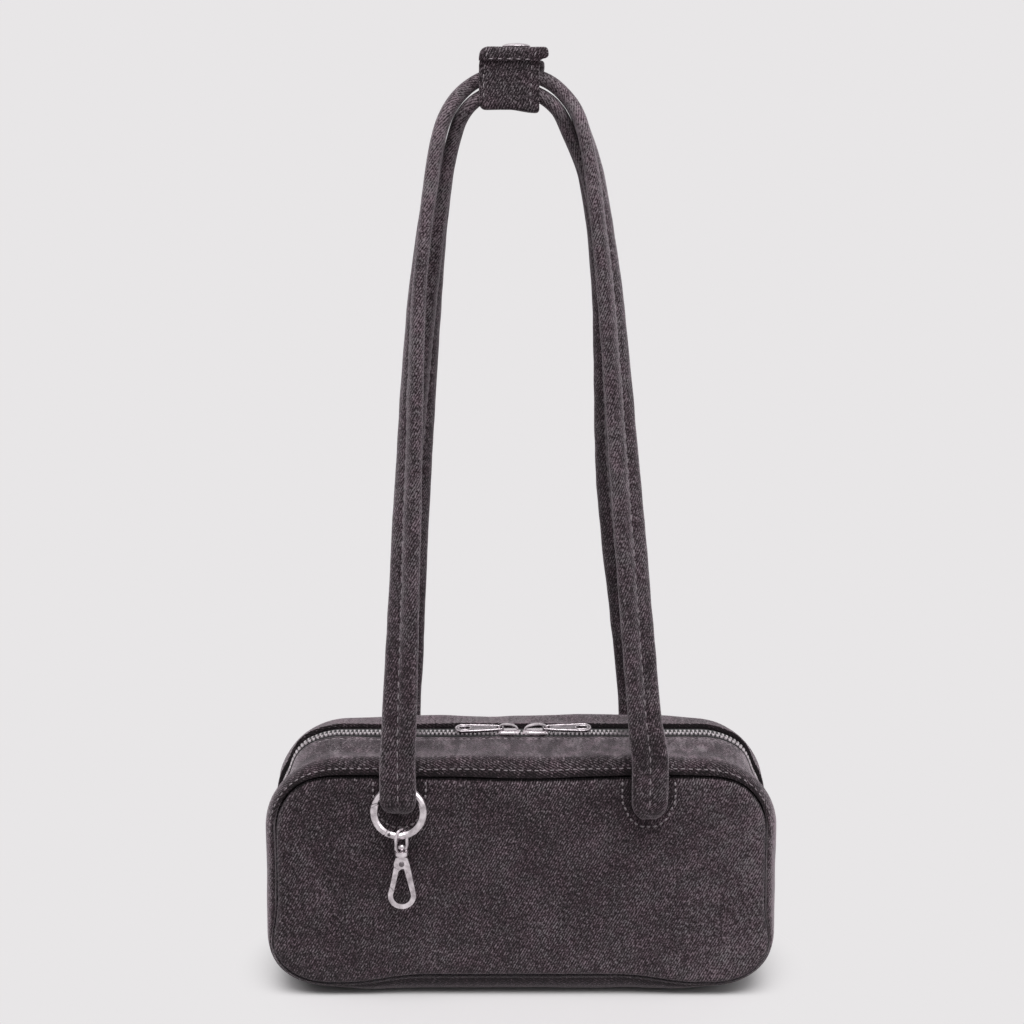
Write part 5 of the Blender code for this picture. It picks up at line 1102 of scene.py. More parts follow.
def chain_frame(travel):
    """A place on the chain's middle line: its point, the direction along it and the outward direction."""
    before, here, after = (body_point(station_at(CHAIN_START + travelled), 0.0, ZIP_LINE_Y)
                           for travelled in (travel - CHAIN_PROBE, travel, travel + CHAIN_PROBE))
    along = (after - before).normalized()
    return here, along, Vector((along.z, 0.0, -along.x))


def zip_teeth(face):
    """One row of cast teeth, each with jaws on the tape's cord, a neck and a round head."""
    first = 0 if face < 0 else 0.5
    work = bmesh.new()
    for number in range(int((CHAIN_LENGTH - 2 * TOOTH_PITCH) / TOOTH_PITCH)):
        point, along, out = chain_frame(CHAIN_MARGIN + TOOTH_PITCH * (number + first))
        rings = []
        for drop, share in TOOTH_LEVELS:
            ring = []
            for reach, half in TOOTH_OUTLINE:
                head = TOOTH_HEAD_DROP if reach < TOOTH_HEAD_REACH else 0.0
                height = TEETH_TOP + drop + (head if drop < TOOTH_HEIGHT / 2 else -head)
                spot = point - out * height + along * (half * share)
                across = face * (TOOTH_MIDDLE + (reach - TOOTH_MIDDLE) * (0.9 + 0.1 * share))
                ring.append(work.verts.new(spot + Vector((0.0, across, 0.0))))
            rings.append(ring)
        close_rings(work, rings)
    piece = add_mesh(WORDS[face] + "_cast_teeth", work, ZIP_METAL, METAL_SHARP_DEGREES)
    dress(piece, "bag", "zip_metal", WORDS[face] + "_zip_teeth")


def zip_stop(word, start, end):
    """A cast stop over both rows of the chain, at one end of it."""
    rows = []
    for share, size in ((0.0, 0.8), (0.1, 1.0), (0.5, 1.0), (0.9, 1.0), (1.0, 0.8)):
        point, _, out = chain_frame(start + (end - start) * share)
        spots = squared_round(20, 0.5, STOP_HALF_WIDTH * size, STOP_HALF_HEIGHT * size)
        rows.append([point + Vector((0.0, wide, 0.0)) + out * (tall - TAPE_MIDDLE) for wide, tall in spots])
    piece = surface(word + "_cast_stop", rows, ZIP_METAL, sharp=METAL_SHARP_DEGREES)
    dress(piece, "bag", "zip_metal", "zip_stop_" + word)


class Route:
    """A smooth curve through knots; a knot holds x, y, z and any values that go with its place."""

    def __init__(self, knots):
        self.knots = knots
        self.marks = [0.0]
        for before, after in zip(knots, knots[1:]):
            self.marks.append(self.marks[-1] + math.dist(before[:3], after[:3]))
        self.length = self.marks[-1]

    def slope(self, index):
        low = max(index - 1, 0)
        high = min(index + 1, len(self.knots) - 1)
        run = self.marks[high] - self.marks[low]
        return [(b - a) / run for a, b in zip(self.knots[low], self.knots[high])]

    def at(self, mark):
        mark = min(max(mark, 0.0), self.length)
        index = 0
        while index < len(self.knots) - 2 and self.marks[index + 1] < mark:
            index += 1
        run = self.marks[index + 1] - self.marks[index]
        share = (mark - self.marks[index]) / run
        square, cube = share ** 2, share ** 3
        values = []
        start, end = self.knots[index:index + 2]
        for a, b, go, come in zip(start, end, self.slope(index), self.slope(index + 1)):
            value = (2 * cube - 3 * square + 1) * a + (cube - 2 * square + share) * run * go
            values.append(value + (3 * square - 2 * cube) * b + (cube - square) * run * come)
        return values

    def direction(self, mark):
        step = self.length / 4000
        return (Vector(self.at(mark + step)[:3]) - Vector(self.at(mark - step)[:3])).normalized()


def leg_knots(face, side):
    """Knots of one strap leg from its sewn tip up to the start of the arch."""
    sewn_x, tip, stand_off = sewn_end(face, side)
    root_depth = SEAM_HALF_DEPTH + stand_off
    panel = SEAM_HALF_DEPTH + panel_bulge(sewn_x, tip - STRAP_THICKNESS / 4) + SEAT_GAP
    flat_turn = 0.0 if face * side > 0 else math.pi
    knots = []
    for angle, width, thickness in zip(CURL_ANGLES, CURL_WIDTH_SHARES, CURL_THICKNESS_SHARES):
        depth = panel + (root_depth - panel) * math.sin(angle)
        height = tip + STRAP_CURL_RISE * (1 - math.cos(angle))
        knots.append((sewn_x, face * depth, height, flat_turn, width, thickness))
    knots.append((sewn_x, face * root_depth, FLEX_BOTTOM_HEIGHT, flat_turn, 1.0, LEG_THICKNESS_SHARES[0]))
    leg = zip(LEG_RISE_SHARES, LEG_SPREADS[face, side], LEG_DEPTH_SHARES, LEG_TWISTS[face, side],
              LEG_THICKNESS_SHARES)
    for rise, spread, depth, twist, thickness in leg:
        x = side * STRAP_HALF_SPACING * spread + STRAP_SHIFTS[face]
        z = FLEX_TOP_HEIGHT + (STRAP_TOP_HEIGHT - FLEX_TOP_HEIGHT) * rise
        turn = flat_turn + (math.pi / 2 - flat_turn) * twist
        knots.append((x, face * root_depth * depth, z, turn, 1.0, thickness))
    for angle, depth, nest in zip(ARCH_ANGLES, ARCH_DEPTH_SHARES, ARCH_NEST_SHARES):
        inset = STRAP_NEST * nest if face > 0 else 0.0
        x = side * (ARCH_HALF_WIDTH - inset) * math.cos(angle) + ARCH_SHIFT
        z = STRAP_TOP_HEIGHT - ARCH_RISE + (ARCH_RISE - inset) * math.sin(angle)
        knots.append((x, face * root_depth * depth, z, math.pi / 2, 1.0, 1.0))
    return knots


def strap_route(face):
    """The middle line of a strap, from the left sewn tip over the top to the right one."""
    inset = STRAP_NEST if face > 0 else 0.0
    top = (ARCH_SHIFT, 0.0, STRAP_TOP_HEIGHT - inset, math.pi / 2, 1.0, 1.0)
    return Route([*leg_knots(face, -1), top, *reversed(leg_knots(face, 1))])


def closed_curve(points, steps):
    """A smooth closed curve through points, with a number of steps from each to the next."""
    made = []
    count = len(points)
    for place in range(count):
        p0, p1, p2, p3 = (Vector(points[(place + shift) % count]) for shift in (-1, 0, 1, 2))
        for step in range(steps):
            t = step / steps
            made.append(0.5 * (2 * p1 + (p2 - p0) * t + (2 * p0 - 5 * p1 + 4 * p2 - p3) * t ** 2
                               + (3 * p1 - p0 - 3 * p2 + p3) * t ** 3))
    return made


STRAP_SECTION = closed_curve([(*share, 0.0) for share in STRAP_SECTION_SHARES], 2)


def strap_frame(route, mark):
    """The strap's middle, its direction across and its direction out of the face, with its sizes."""
    x, y, z, turn, width, thickness = route.at(mark)
    along = route.direction(mark)
    if mark in (0.0, route.length):
        along = Vector((0.0, along.y, 0.0)).normalized()
    across = Vector((math.cos(turn), -math.sin(turn), 0.0))
    across = (across - along * across.dot(along)).normalized()
    half_width = width * STRAP_WIDTH / 2
    half_thickness = thickness * STRAP_THICKNESS / 2
    return Vector((x, y, z)), across, across.cross(along), half_width, half_thickness


def strap(face):
    """One padded strap, from sewn end to sewn end over the top, with a sewn groove along both faces."""
    route = strap_route(face)
    count = math.ceil(route.length / STRAP_ROW_STEP)
    rows = []
    for number in range(count + 1):
        mark = route.length * number / count
        middle, across, out, half_width, half_thickness = strap_frame(route, mark)
        tip = smooth_step(min(mark, route.length - mark) / STRAP_TIP_FADE)
        row = []
        for share in STRAP_SECTION:
            level = share.y
            if abs(share.x) < STRAP_GROOVE_REACH:
                flat = math.copysign(STRAP_FLAT_LEVEL, level)
                level = flat + (level - flat) * tip
            point = middle + across * (share.x * half_width) + out * (level * half_thickness)
            normal = (across * share.x + out * share.y).normalized()
            row.append(point + normal * ripple(point, STRAP_RIPPLES))
        rows.append(row)

    def wear_and_painted_light(row, column):
        point = rows[row][column]
        # Painted light: the strap is lighter higher up, with a painted highlight along its edges and random
        # tone from the noise.
        high = sum(amount * step_up(point.z, start, STRAP_PAINTED_LIGHT_RISE) for amount, start in STRAP_PAINTED_LIGHTS)
        edge = step_up(abs(STRAP_SECTION[column].x), 0.75, 0.25)
        return high + 0.45 * edge + 0.3 * noise.noise(point * 60.0)

    word = WORDS[face]
    piece = surface(word + "_handle_strap", rows, DENIM, wear_and_painted_light=wear_and_painted_light)
    skin = skin_of(piece)
    nodes = [f"{word}_{side}_strap_{part}" for side in ("left", "right") for part in ("end", "flex")]
    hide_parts(word + "_strap", *nodes)
    bend_with_handle(piece)

    work = bmesh.new()
    for sign in (1, -1):
        def place_at(distance, sign=sign):
            middle, _, out, _, half_thickness = strap_frame(route, STRAP_SEAM_INSET + distance)
            return middle + out * (sign * STRAP_GROOVE * half_thickness), out * sign

        stitch_line(work, skin, place_at, route.length - 2 * STRAP_SEAM_INSET, **STRAP_STITCHES)
    bend_with_handle(add_mesh(word + "_strap_stitches", work, THREAD))


def bend_with_handle(piece):
    """Bakes a piece's transform into its mesh."""
    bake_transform(piece)


def add_stitch(work, start, end, out, radius):
    """One stitch: a thread capsule that dips into the cloth at both ends."""
    along = end - start
    length = along.length
    if length < SHORTEST_STITCH:
        return
    along.normalize()
    side = along.cross(out).normalized()
    up = side.cross(along)
    directions = [side * math.cos(angle) + up * math.sin(angle) for angle in STITCH_ANGLES]
    rings = []
    for share, size, lift in STITCH_RINGS:
        middle = start + along * (length * share) + up * (radius * lift)
        rings.append([work.verts.new(middle + direction * (radius * size)) for direction in directions])
    close_rings(work, rings)


def skin_of(piece):
    """A search tree of a piece's surface."""
    faces = [face.vertices for face in piece.data.polygons]
    return BVHTree.FromPolygons([vert.co for vert in piece.data.vertices], faces)


def on_skin(skin, point, out):
    """The outermost place of a skin on a line through a point."""
    place = skin.ray_cast(point + out * SKIN_REACH, -out, 2 * SKIN_REACH)[0]
    return point if place is None else place


def stitch_line(work, skin, place_at, length,
                pitch=STITCH_PITCH, stitch=STITCH_LENGTH, radius=STITCH_RADIUS):
    """Stitches along a line on a skin; place_at gives a point and its outward direction at a distance."""
    count = max(1, int(length / pitch))
    for number in range(count):
        begin = length * (number + 0.5) / count - stitch / 2
        start, out = place_at(begin)
        end, _ = place_at(begin + stitch)
        add_stitch(work, on_skin(skin, start, out), on_skin(skin, end, out), out, radius)


def body_stitches(strips, panels):
    """The topstitching of the body: beside the zip's folds, along the rolls and round the strap ends."""
    work = bmesh.new()
    total = 2 * (HALF_OUTLINE - ZIP_END) - 2 * TOP_SEAM_MARGIN
    roll_depth = RIDGE_DEPTH + ROLL_DEPTH * math.cos(ROLL_SEAM_ANGLE)

    def along_top(face, on_roll):
        def place_at(distance):
            station = station_at(ZIP_END + TOP_SEAM_MARGIN + distance)
            out = outward(station)
            if on_roll:
                inward = by_table(ROLLS, station[0]) * (1 - math.sin(ROLL_SEAM_ANGLE))
                aim = (out + Vector((0.0, 2 * face, 0.0))).normalized()
                return top_point(station, inward, roll_depth, face), aim
            depth = fold_mouth(face) + FOLD_SETBACKS[face] + 0.8 * FOLD_WIDTH
            return top_point(station, -0.45 * FOLD_RISE, depth, face), out
        return place_at

    for face in (-1, 1):
        for on_roll in (False, True):
            stitch_line(work, skin_of(strips[face]), along_top(face, on_roll), total)
        for side in (-1, 1):
            strap_end_seam(work, skin_of(panels[face]), face, side)
    dress(add_mesh("body_stitches", work, THREAD), "bag", "denim")


def strap_end_seam(work, skin, face, side):
    """The seam that holds a strap end: down both sides of the strap and round under its tip."""
    middle, tip, _ = sewn_end(face, side)
    low = tip - (END_SEAM_RING_DROP if (face, side) == (-1, -1) else 0.0)
    corners = [(END_SEAM_HALF_WIDTH, height) for height in
               (BODY_HEIGHT - ROLL_AT_TOP - END_SEAM_TOP_MARGIN, tip + END_SEAM_SHOULDER)]
    corners += [(x, low + z) for x, z in END_SEAM_CURVE]
    path = [(middle - x, 0.0, z) for x, z in corners]
    route = Route(path + [(middle + x, 0.0, z) for x, z in corners[-2::-1]])

    def place_at(distance):
        x, _, z = route.at(distance)
        return Vector((x, face * SEAM_HALF_DEPTH, z)), Vector((0.0, face, 0.0))

    stitch_line(work, skin, place_at, route.length, **END_STITCHES)


def lining():
    """The pouch inside the walls, of thin twill."""
    mouth_height = BODY_HEIGHT - MOUTH_DROP

    def half_width(z, inset):
        inset += CORNER_PINCH * 1.2 * step_up(z, *LINING_PINCH)
        low_rise = max(BASE_CORNER_RADIUS - z, 0.0)
        low = BASE_RUN + math.sqrt(max((BASE_CORNER_RADIUS - inset) ** 2 - low_rise ** 2, 0.0))
        high_rise = max(z - (BODY_HEIGHT - TOP_CORNER_RADIUS), 0.0)
        high = TOP_RUN + math.sqrt(max((TOP_CORNER_RADIUS - inset) ** 2 - high_rise ** 2, 0.0))
        return min(low, high)

    def loop(height, half_depth, inset):
        half_length = half_width(height, LINING_CLEARANCE + inset)
        radius = LINING_CORNER - inset
        points = []
        for side_x, side_y, turn in ((1, 1, 0), (-1, 1, 1), (-1, -1, 2), (1, -1, 3)):
            centre_x = side_x * (half_length - radius)
            centre_y = side_y * (half_depth - inset - radius)
            for step in range(9):
                angle = math.pi / 2 * (turn + step / 8)
                x = centre_x + radius * math.cos(angle)
                y = centre_y + radius * math.sin(angle)
                points.append(settle(x, y, height))
        return points

    def levels(inset):
        floor = LINING_CLEARANCE + inset
        rows = []
        for share in LINING_SHARES:
            half_depth = LINING_FLOOR_DEPTH if share == 0.0 else LINING_WALL_DEPTH
            rows.append(loop(floor + (mouth_height - floor) * share, half_depth, inset))
        return [*rows, loop(mouth_height - inset, LINING_TOP_DEPTH, inset)]

    lips = [loop(mouth_height - inset, LINING_LIP_DEPTH, 0.0) for inset in (0.0, LINING_THICKNESS)]
    rows = [*levels(0.0), *lips, *reversed(levels(LINING_THICKNESS))]
    dress(surface("pouch_lining", rows, LINING_CLOTH), "bag", "twill_lining", "lining")


def stays():
    """The strips of strong cloth inside the panels, behind the sewn strap ends."""
    count = 60
    for word in WORDS.values():
        low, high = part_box(word + "_handle_stay")
        section = ((low.y, low.z), (high.y, low.z), (high.y, high.z), (low.y, high.z))
        rows = [[Vector((low.x + (high.x - low.x) * number / count, y, z)) for y, z in section]
                for number in range(count + 1)]
        piece = surface(word + "_stay_cloth", rows, LINING_CLOTH)
        dress(piece, "bag", "twill_lining", word + "_handle_stay")


def band(name, corners, left, right, shape, steps=22):
    """A folded band round corners (y, z) with soft edges; shape moves each point."""
    rows = []
    places = []
    points = rounded_path(corners)
    half = KEEPER_CLOTH / 2
    travelled = 0.0
    for place, here in enumerate(points):
        before = points[max(place - 1, 0)]
        after = points[min(place + 1, len(points) - 1)]
        travelled += (here - before).length
        along = (after - before).normalized()
        aside = Vector((-along.y, along.x))
        full = 0.45 + 0.55 * smooth_step(min(place, len(points) - 1 - place) / 3)
        row = []
        line = []
        for sign in (-1, 1):
            for step in range(steps + 1):
                across = math.cos(math.pi * step / steps) * sign
                x = left + (right - left) * (across + 1) / 2
                edge = min(1.0, min(x - left, right - x) / half)
                spot = here + aside * (sign * half * full * (0.35 + 0.65 * math.sqrt(max(edge, 0.0))))
                point = Vector((x, spot.x, spot.y))
                point += Vector((0.0, aside.x, aside.y)) * ripple(point, KEEPER_RIPPLES)
                row.append(shape(point))
                line.append((x, -travelled))
        rows.append(row)
        places.append([*line, line[0]])

    def wear_and_painted_light(row, column):
        return 0.9 if column % (steps + 1) in (0, 1, steps - 1, steps) else 0.4

    return surface(name, rows, DENIM, places=places, wear_and_painted_light=wear_and_painted_light)


def rounded_path(corners):
    """A path (y, z) through corners, rounded, with evenly close points."""
    corners = [Vector(corner) for corner in corners]
    path = [corners[0]]
    for before, here, after in zip(corners, corners[1:], corners[2:]):
        start = here + (before - here).normalized() * KEEPER_BEND
        end = here + (after - here).normalized() * KEEPER_BEND
        for number in range(7):
            t = number / 6
            path.append(start * (1 - t) ** 2 + here * 2 * t * (1 - t) + end * t ** 2)
    path.append(corners[-1])
    fine = [path[0]]
    for before, after in zip(path, path[1:]):
        count = max(1, math.ceil((after - before).length / KEEPER_STEP))
        fine += [before + (after - before) * number / count for number in range(1, count + 1)]
    return fine


def corner_drop(distance, radius):
    """How far a rounded corner falls below its straight edge, at a distance from the corner's side."""
    short = min(max(radius - distance, 0.0), radius)
    return radius - math.sqrt(radius ** 2 - short ** 2)


def keeper():
    """The band round both straps, its flap with the rolled corner, and their stitching."""
    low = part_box("keeper_band")[0].z + KEEPER_CLOTH / 2
    left = KEEPER_X - KEEPER_WIDTH / 2
    right = KEEPER_X + KEEPER_WIDTH / 2
    deep = KEEPER_HALF_DEPTH

    def wrap_shape(point):
        from_left = point.x - left
        right_drop = 0.6 * corner_drop(right - point.x, WRAP_RIGHT_CORNER)
        rise = corner_drop(from_left, WRAP_LOW_CORNER) + right_drop
        rise += WRAP_LEFT_RISE - WRAP_RIGHT_FALL * step_up(from_left, *WRAP_SLOPE)
        drop = corner_drop(from_left, KEEPER_CORNER) + right_drop
        shift = step_down(point.z, *KEEPER_HANG) * rise - step_up(point.z, *KEEPER_SHOULDER) * drop
        return point + Vector((0.0, 0.0, shift))

    corners = (
        (deep - KEEPER_CLOTH - SEAT_GAP, KEEPER_LAYER_HEIGHT), (-deep, KEEPER_LAYER_HEIGHT), (-deep, low),
        (deep, low), (deep, KEEPER_BACK_TOP),
    )
    wrap = dress(band("keeper_wrap", corners, left, right, wrap_shape), "handle", "denim", "keeper_band")

    flap_right = right + KEEPER_CORNER
    bottom = FLAP_TOP_HEIGHT - FLAP_LIP

    def tab_shape(point):
        share = step_up(point.z, bottom, FLAP_LIP)
        from_right = flap_right - point.x
        drop = corner_drop(point.x - left, KEEPER_CORNER) + corner_drop(from_right, TAB_TOP_CORNER)
        rise = 0.7 * corner_drop(from_right, TAB_LOW_CORNER)
        rise += TAB_LIFT * step_up(point.x, right, TAB_LIFT_RUN)
        curl = TAB_CURL * step_up(point.x, right, TAB_CURL_RUN) if point.y < 0 else 0.0
        return point + Vector((0.0, -curl, rise * (1 - share) - drop * share))

    lip = deep + KEEPER_CLOTH + GAP
    top = FLAP_TOP_HEIGHT
    corners = ((deep, KEEPER_BACK_TOP + GAP), (deep, top), (-lip, top), (-lip, bottom))
    tab = dress(band("keeper_tab", corners, left, flap_right, tab_shape), "flap", "denim", "keeper_flap")

    under = []
    for number in range(9):
        size = 1.0 if 0 < number < 8 else 0.75
        y = UNDER_FOLD_FRONT + UNDER_FOLD_LENGTH * number / 8
        spots = squared_round(20, 0.6, UNDER_FOLD_HALF_WIDTH * size, UNDER_FOLD_HALF_HEIGHT * size)
        under.append([Vector((right - UNDER_FOLD_INSET + wide, y, UNDER_FOLD_MIDDLE + tall))
                      for wide, tall in spots])
    dress(surface("keeper_under_fold", under, DENIM, wear_and_painted_light=lambda row, column: 1.5), "handle", "denim")

    def seam(body, name, piece, lines):
        work = bmesh.new()
        for line in lines:
            route = Route([(x, -deep, z) for x, z in line])
            stitch_line(work, skin_of(piece), lambda distance, route=route: (
                Vector(route.at(distance)), Vector((0.0, -1.0, 0.0))), route.length)
        dress(add_mesh(name, work, THREAD), body, "denim")

    seam("handle", "keeper_stitches", wrap, (
        ((left + 0.0033, 0.5095), (left + 0.0025, 0.5030), (left + 0.0026, 0.4900)),
        ((right - 0.0040, 0.5090), (right - 0.0044, 0.5000), (right - 0.0046, 0.4860)),
    ))
    seam("flap", "tab_stitches", tab, (
        ((left + 0.0040, 0.5113), (KEEPER_X, 0.5112), (right - 0.0040, 0.5109)),
        ((left + 0.0047, 0.5150), (left + 0.0036, 0.5118)),
        ((right - 0.0012, 0.5160), (right - 0.0034, 0.5112)),
    ))


def snap():
    """The snap's domed cap with a rolled rim."""
    base = FLAP_TOP_HEIGHT + KEEPER_CLOTH / 2 + GAP / 2
    profile = list(SNAP_RIM)
    for step in range(1, 9):
        angle = math.pi / 2 * step / 8
        height = SNAP_DOME_FOOT + SNAP_DOME_RISE * math.sin(angle)
        profile.append((SNAP_DOME_RADIUS * math.cos(angle), height))
    rows = []
    for radius, height in profile:
        radius = max(radius, SNAP_TIP_RADIUS)
        angles = [turn * math.pi / 24 for turn in range(48)]
        rows.append([Vector((SNAP_X + radius * math.cos(angle), radius * math.sin(angle), base + height))
                     for angle in angles])
    dress(surface("snap_dome", rows, SATIN), "flap", "satin_metal", "snap_cap")


def join(name, pieces, dull=0):
    """Puts several pieces together as one; the first few may be painted darker, in place of dark
    reflections.
    """
    work = bmesh.new()
    # The same per-vertex attribute of wear and painted light or shade.
    wear_and_light_layer = work.verts.layers.float.new("wear_and_painted_light")
    for number, piece in enumerate(pieces):
        work.from_mesh(piece.data)
        bpy.data.objects.remove(piece)
        work.verts.ensure_lookup_table()
        if number + 1 == dull:
            for vert in work.verts:
                vert[wear_and_light_layer] = 1.0
    return add_mesh(name, work, SATIN, METAL_SHARP_DEGREES)


def slider(side, word):
    """A slider: a flanged plate over the chain and the long arched crown that holds the pull."""
    nose = SLIDER_NOSES[side]
    low = CHAIN_TOP + SLIDER_CLEARANCE
    edge = SLIDER_EDGE
    front = low - SLIDER_FRONT_WALL
    rear = low - SLIDER_REAR_WALL
    rows = []
    for share, wide in zip(SLIDER_SHARES, SLIDER_WIDTHS):
        x = nose + side * SLIDER_LENGTHS[side] * share
        half = SLIDER_HALF_WIDTH * wide
        inner = half - SLIDER_FLANGE
        top = low + SLIDER_PLATE - SLIDER_DIP * (1 - smooth_step(min(share, 1 - share) / 0.12))
        section = (
            (-half, front + edge), (-half, top - edge), (-half + edge, top), (-half / 2, top + edge / 2),
            (0.0, top + edge * 0.7), (half / 2, top + edge / 2), (half - edge, top), (half, top - edge),
            (half, rear + edge), (half - edge, rear), (inner, rear), (inner, low), (-inner, low),
            (-inner, front), (-half + edge, front),
        )
        rows.append([Vector((x, ZIP_LINE_Y + y, z)) for y, z in section])
    plate = surface("plate", rows, SATIN)
    crown = Route([(nose + side * travel * CROWN_SCALES[side], ZIP_LINE_Y, height)
                   for travel, height in CROWN_PATH])
    rows = []
    for number in range(33):
        mark = crown.length * number / 32
        x, y, z = crown.at(mark)
        along = crown.direction(mark)
        out = Vector((-along.z, 0.0, along.x)) * side
        half = CROWN_HALF_WIDTH + CROWN_BELLY * math.sin(math.pi * number / 32)
        rows.append([Vector((x, y + wide * half, z)) + out * (tall * CROWN_THICKNESS / 2)
                     for wide, tall in CROWN_SECTION])
    piece = join(f"slider_{word}_fine", [plate, surface("arch", rows, SATIN)])
    dress(piece, f"{word}_slider", "satin_metal", f"slider_{word}")


def curve_piece(loops, dimensions, **settings):
    """A mesh piece from closed loops and the settings of a curve."""
    curve = bpy.data.curves.new("outline", "CURVE")
    curve.dimensions = dimensions
    for name, value in settings.items():
        setattr(curve, name, value)
    for loop in loops:
        spline = curve.splines.new("POLY")
        spline.points.add(len(loop) - 1)
        for point, spot in zip(spline.points, loop):
            point.co = (*spot, *([0.0] * (3 - len(spot))), 1.0)
        spline.use_cyclic_u = True
    holder = bpy.data.objects.new("curve", curve)
    mesh = bpy.data.meshes.new_from_object(holder)
    bpy.data.objects.remove(holder)
    return bpy.data.objects.new("part", mesh)


def oval(middle, half_length, half_width, power):
    """A closed oval round a place on the pull's middle line."""
    return [(middle + along, across) for along, across in squared_round(24, power, half_length, half_width)]


def pull_outline(inset):
    """The pull's outline: narrow at the crown, widening to a round end."""
    (neck_x, neck_y), (shoulder_x, shoulder_y), (belly_x, belly_y) = PULL_NECK
    spots = [(neck_x + inset, neck_y), (shoulder_x + inset, shoulder_y + inset), (belly_x, belly_y + inset)]
    end = PULL_LENGTH - PULL_END_RADIUS
    radius = PULL_END_RADIUS - inset
    for step in range(17):
        angle = -math.pi / 2 + math.pi * step / 16
        spots.append((end + radius * math.cos(angle), radius * math.sin(angle)))
    return spots + [(x, -y) for x, y in spots[2::-1]]


def pull(side, word):
    """A pull tab with a raised rim, a window for the crown and an eyelet at its round end."""
    plate = curve_piece([pull_outline(0.0), oval(*PULL_HOLE), oval(*PULL_WINDOW)], "2D", fill_mode="BOTH",
                        extrude=PULL_THICKNESS / 2 - PULL_EDGE, bevel_depth=PULL_EDGE, bevel_resolution=2,
                        offset=-PULL_EDGE)
    parts = [plate]
    for loop in (pull_outline(PULL_RIM_INSET), oval(*PULL_EYELET)):
        raised = [(x, y, PULL_THICKNESS / 2 - PULL_RIM_SINK) for x, y in loop]
        parts.append(curve_piece([raised], "3D", bevel_depth=PULL_RIM_RADIUS, bevel_resolution=3))
    height = CHAIN_TOP + SLIDER_CLEARANCE + SLIDER_PLATE + GAP + PULL_THICKNESS / 2
    for part in parts:
        for vert in part.data.vertices:
            along, across, up = vert.co
            roll = PULL_ROLL + PULL_TWIST * step_up(along, *PULL_TWIST_PLACE)
            rolled_across = across * math.cos(roll) - up * math.sin(roll)
            rolled_up = up * math.cos(roll) + across * math.sin(roll) + along * math.sin(PULL_PITCHES[side])
            x = ZIP_MEET_X + side * (PULL_AXIS_X + along)
            vert.co = (x, ZIP_LINE_Y + rolled_across, height + rolled_up)
    # The pull's plate gets painted shade, darker than its raised rims, in place of dark reflections.
    dress(join(f"pull_{word}_fine", parts, dull=1), f"{word}_pull", "satin_metal", f"pull_{word}")


def gate_seam():
    """The dark slanted joint line between the ring and the free end of its gate."""
    rows = []
    for step in range(33):
        turn = math.tau * step / 32
        row = []
        for width, lift in GATE_SEAM_PROFILE:
            angle = GATE_END_ANGLE + (RING_WIRE_RADIUS * 0.8 * math.cos(turn) + width) / RING_RADIUS
            reach = RING_RADIUS + (RING_WIRE_RADIUS + lift) * math.cos(turn)
            x = RING_X + reach * math.cos(angle)
            y = RING_Y + (RING_WIRE_RADIUS + lift) * math.sin(turn)
            row.append(Vector((x, y, RING_CENTRE_HEIGHT + reach * math.sin(angle))))
        rows.append(row)
    dress(surface("ring_gate_seam", rows, PIN_METAL, wrap=False, caps=False), "ring", "satin_metal")


def hardware():
    """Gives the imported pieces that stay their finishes, and eases the edges of the eye and the hook."""
    finishes = (
        (SATIN, ("slider_left_underside", "slider_right_underside", "gate_ring", "ring_gate", "swivel_eye",
                 "swivel_post", "hook_body", "hook_gate")),
        (ZIP_METAL, ("snap_stud", "snap_socket")),
        (PIN_METAL, ("ring_pin", "hook_rivet")),
        (BOARD, ("base_board",)),
    )
    for finish, nodes in finishes:
        for node in nodes:
            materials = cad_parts[node].data.materials
            materials.clear()
            materials.append(finish)
    for node, width in EASED_EDGES.items():
        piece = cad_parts[node]
        piece.modifiers.new("weld", "WELD").merge_threshold = WELD_DISTANCE
        bevel = piece.modifiers.new("edges", "BEVEL")
        bevel.width = width
        bevel.segments = EASED_SEGMENTS
        bevel.limit_method = "ANGLE"
        bevel.angle_limit = EASED_ANGLE


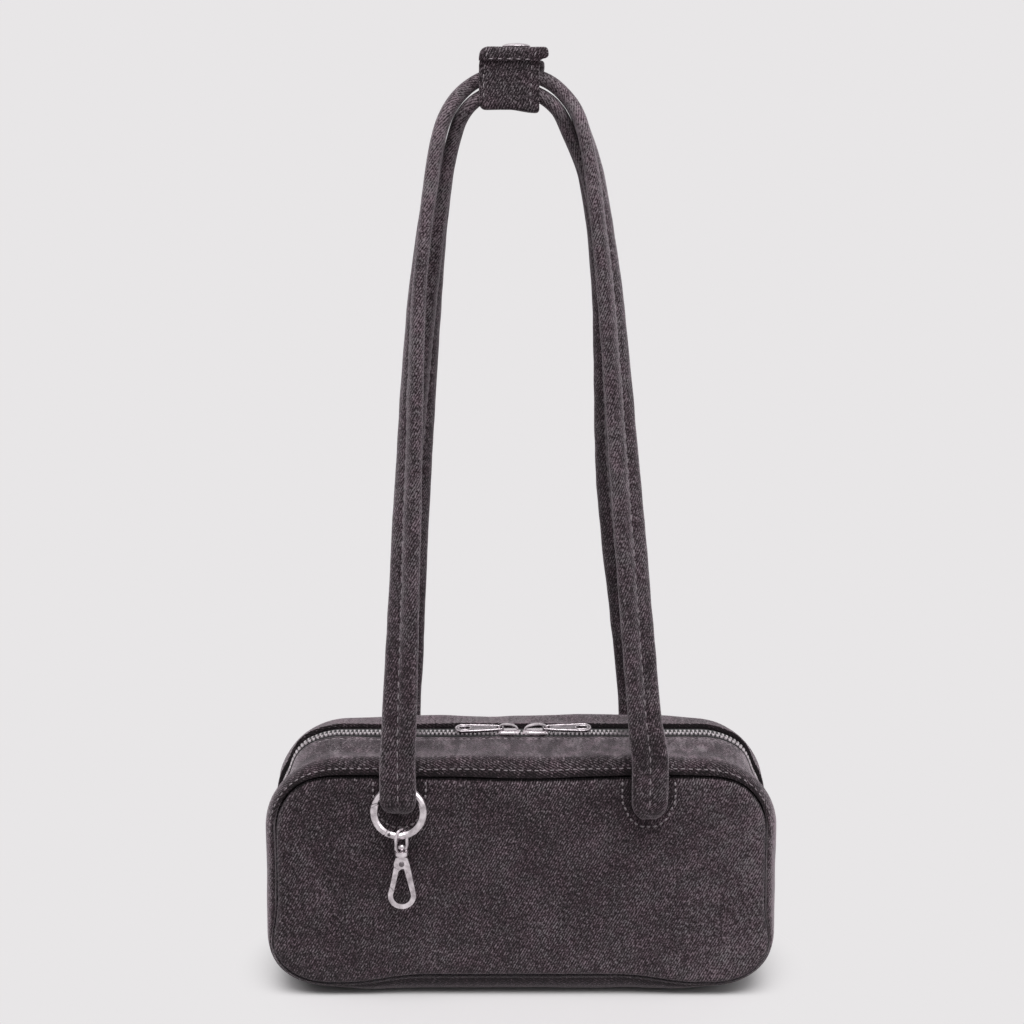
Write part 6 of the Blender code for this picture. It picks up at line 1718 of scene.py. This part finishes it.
def studio():
    """The pale floor, the backdrop light, the lamps and the camera."""
    scene = bpy.context.scene
    scene.view_settings.view_transform = "Standard"
    backdrop = colour(*BACKDROP_TINT)

    mesh = bpy.data.meshes.new("floor")
    size = FLOOR_HALF_SIZE
    mesh.from_pydata([(-size, -size, 0), (size, -size, 0), (size, size, 0), (-size, size, 0)],
                     [], [(0, 1, 2, 3)])
    floor = add_object("floor", mesh)
    graph = new_material("pale_floor")
    seen = graph.sees_backdrop()
    lit = graph.light("BsdfDiffuse", graph.mix(seen, colour(*FLOOR_TINT), backdrop))
    far = graph.light("MixShader", seen, graph.light("Emission", backdrop, FAR_FLOOR_GLOW),
                      graph.light("Emission", backdrop, 1.0))
    scales = (1 / SHADOW_HALF_LENGTH, 1 / SHADOW_HALF_DEPTH, 1.0)
    place = graph.mapped(graph.on_object(), scales)
    reach = graph.node("ShaderNodeVectorMath", place, operation="LENGTH").outputs["Value"]
    fade = graph.between(reach, SHADOW_FADE, interpolation_type="SMOOTHSTEP")
    output = graph.tree.nodes["Material Output"]
    graph.put(output.inputs["Surface"], graph.light("MixShader", fade, lit, far))
    mesh.materials.append(graph.owner)

    scene.world = bpy.data.worlds.new("studio")
    graph = Graph(scene.world)
    nodes = graph.tree.nodes
    nodes["Background"].inputs["Color"].default_value = backdrop
    lighting = graph.light("Background", FILL_COLOUR, FILL_STRENGTH)
    sky = graph.light("MixShader", graph.sees_backdrop(), lighting, nodes["Background"].outputs[0])
    graph.put(nodes["World Output"].inputs["Surface"], sky)

    for name, towards, strength, spread in LAMPS:
        light = bpy.data.lights.new(name, "SUN")
        light.energy = strength
        light.angle = math.radians(spread)
        add_object(name, light).rotation_euler = Vector(towards).to_track_quat("Z", "Y").to_euler()

    lens = bpy.data.cameras.new("camera")
    lens.sensor_width = SENSOR_WIDTH
    lens.lens = FOCAL_PIXELS * SENSOR_WIDTH / IMAGE_SIZE
    camera = add_object("camera", lens)
    camera.location = CAMERA_PLACE
    camera.rotation_euler = (math.pi / 2 - CAMERA_PITCH, 0.0, 0.0)
    scene.camera = camera


panels = {face: main_panel(face) for face in WORDS}
bottom_gusset()
strips = {face: zip_panel(face) for face in WORDS}
body_stitches(strips, panels)
zip_tape(-1)
zip_tape(1)
zip_teeth(-1)
zip_teeth(1)
zip_stop("right", -STOP_LENGTH, -GAP)
zip_stop("left", CHAIN_LENGTH + GAP, CHAIN_LENGTH + STOP_LENGTH)
for slider_side, slider_word in ((-1, "left"), (1, "right")):
    slider(slider_side, slider_word)
    pull(slider_side, slider_word)
lining()
stays()
strap(-1)
strap(1)
keeper()
snap()
gate_seam()
hardware()
studio()
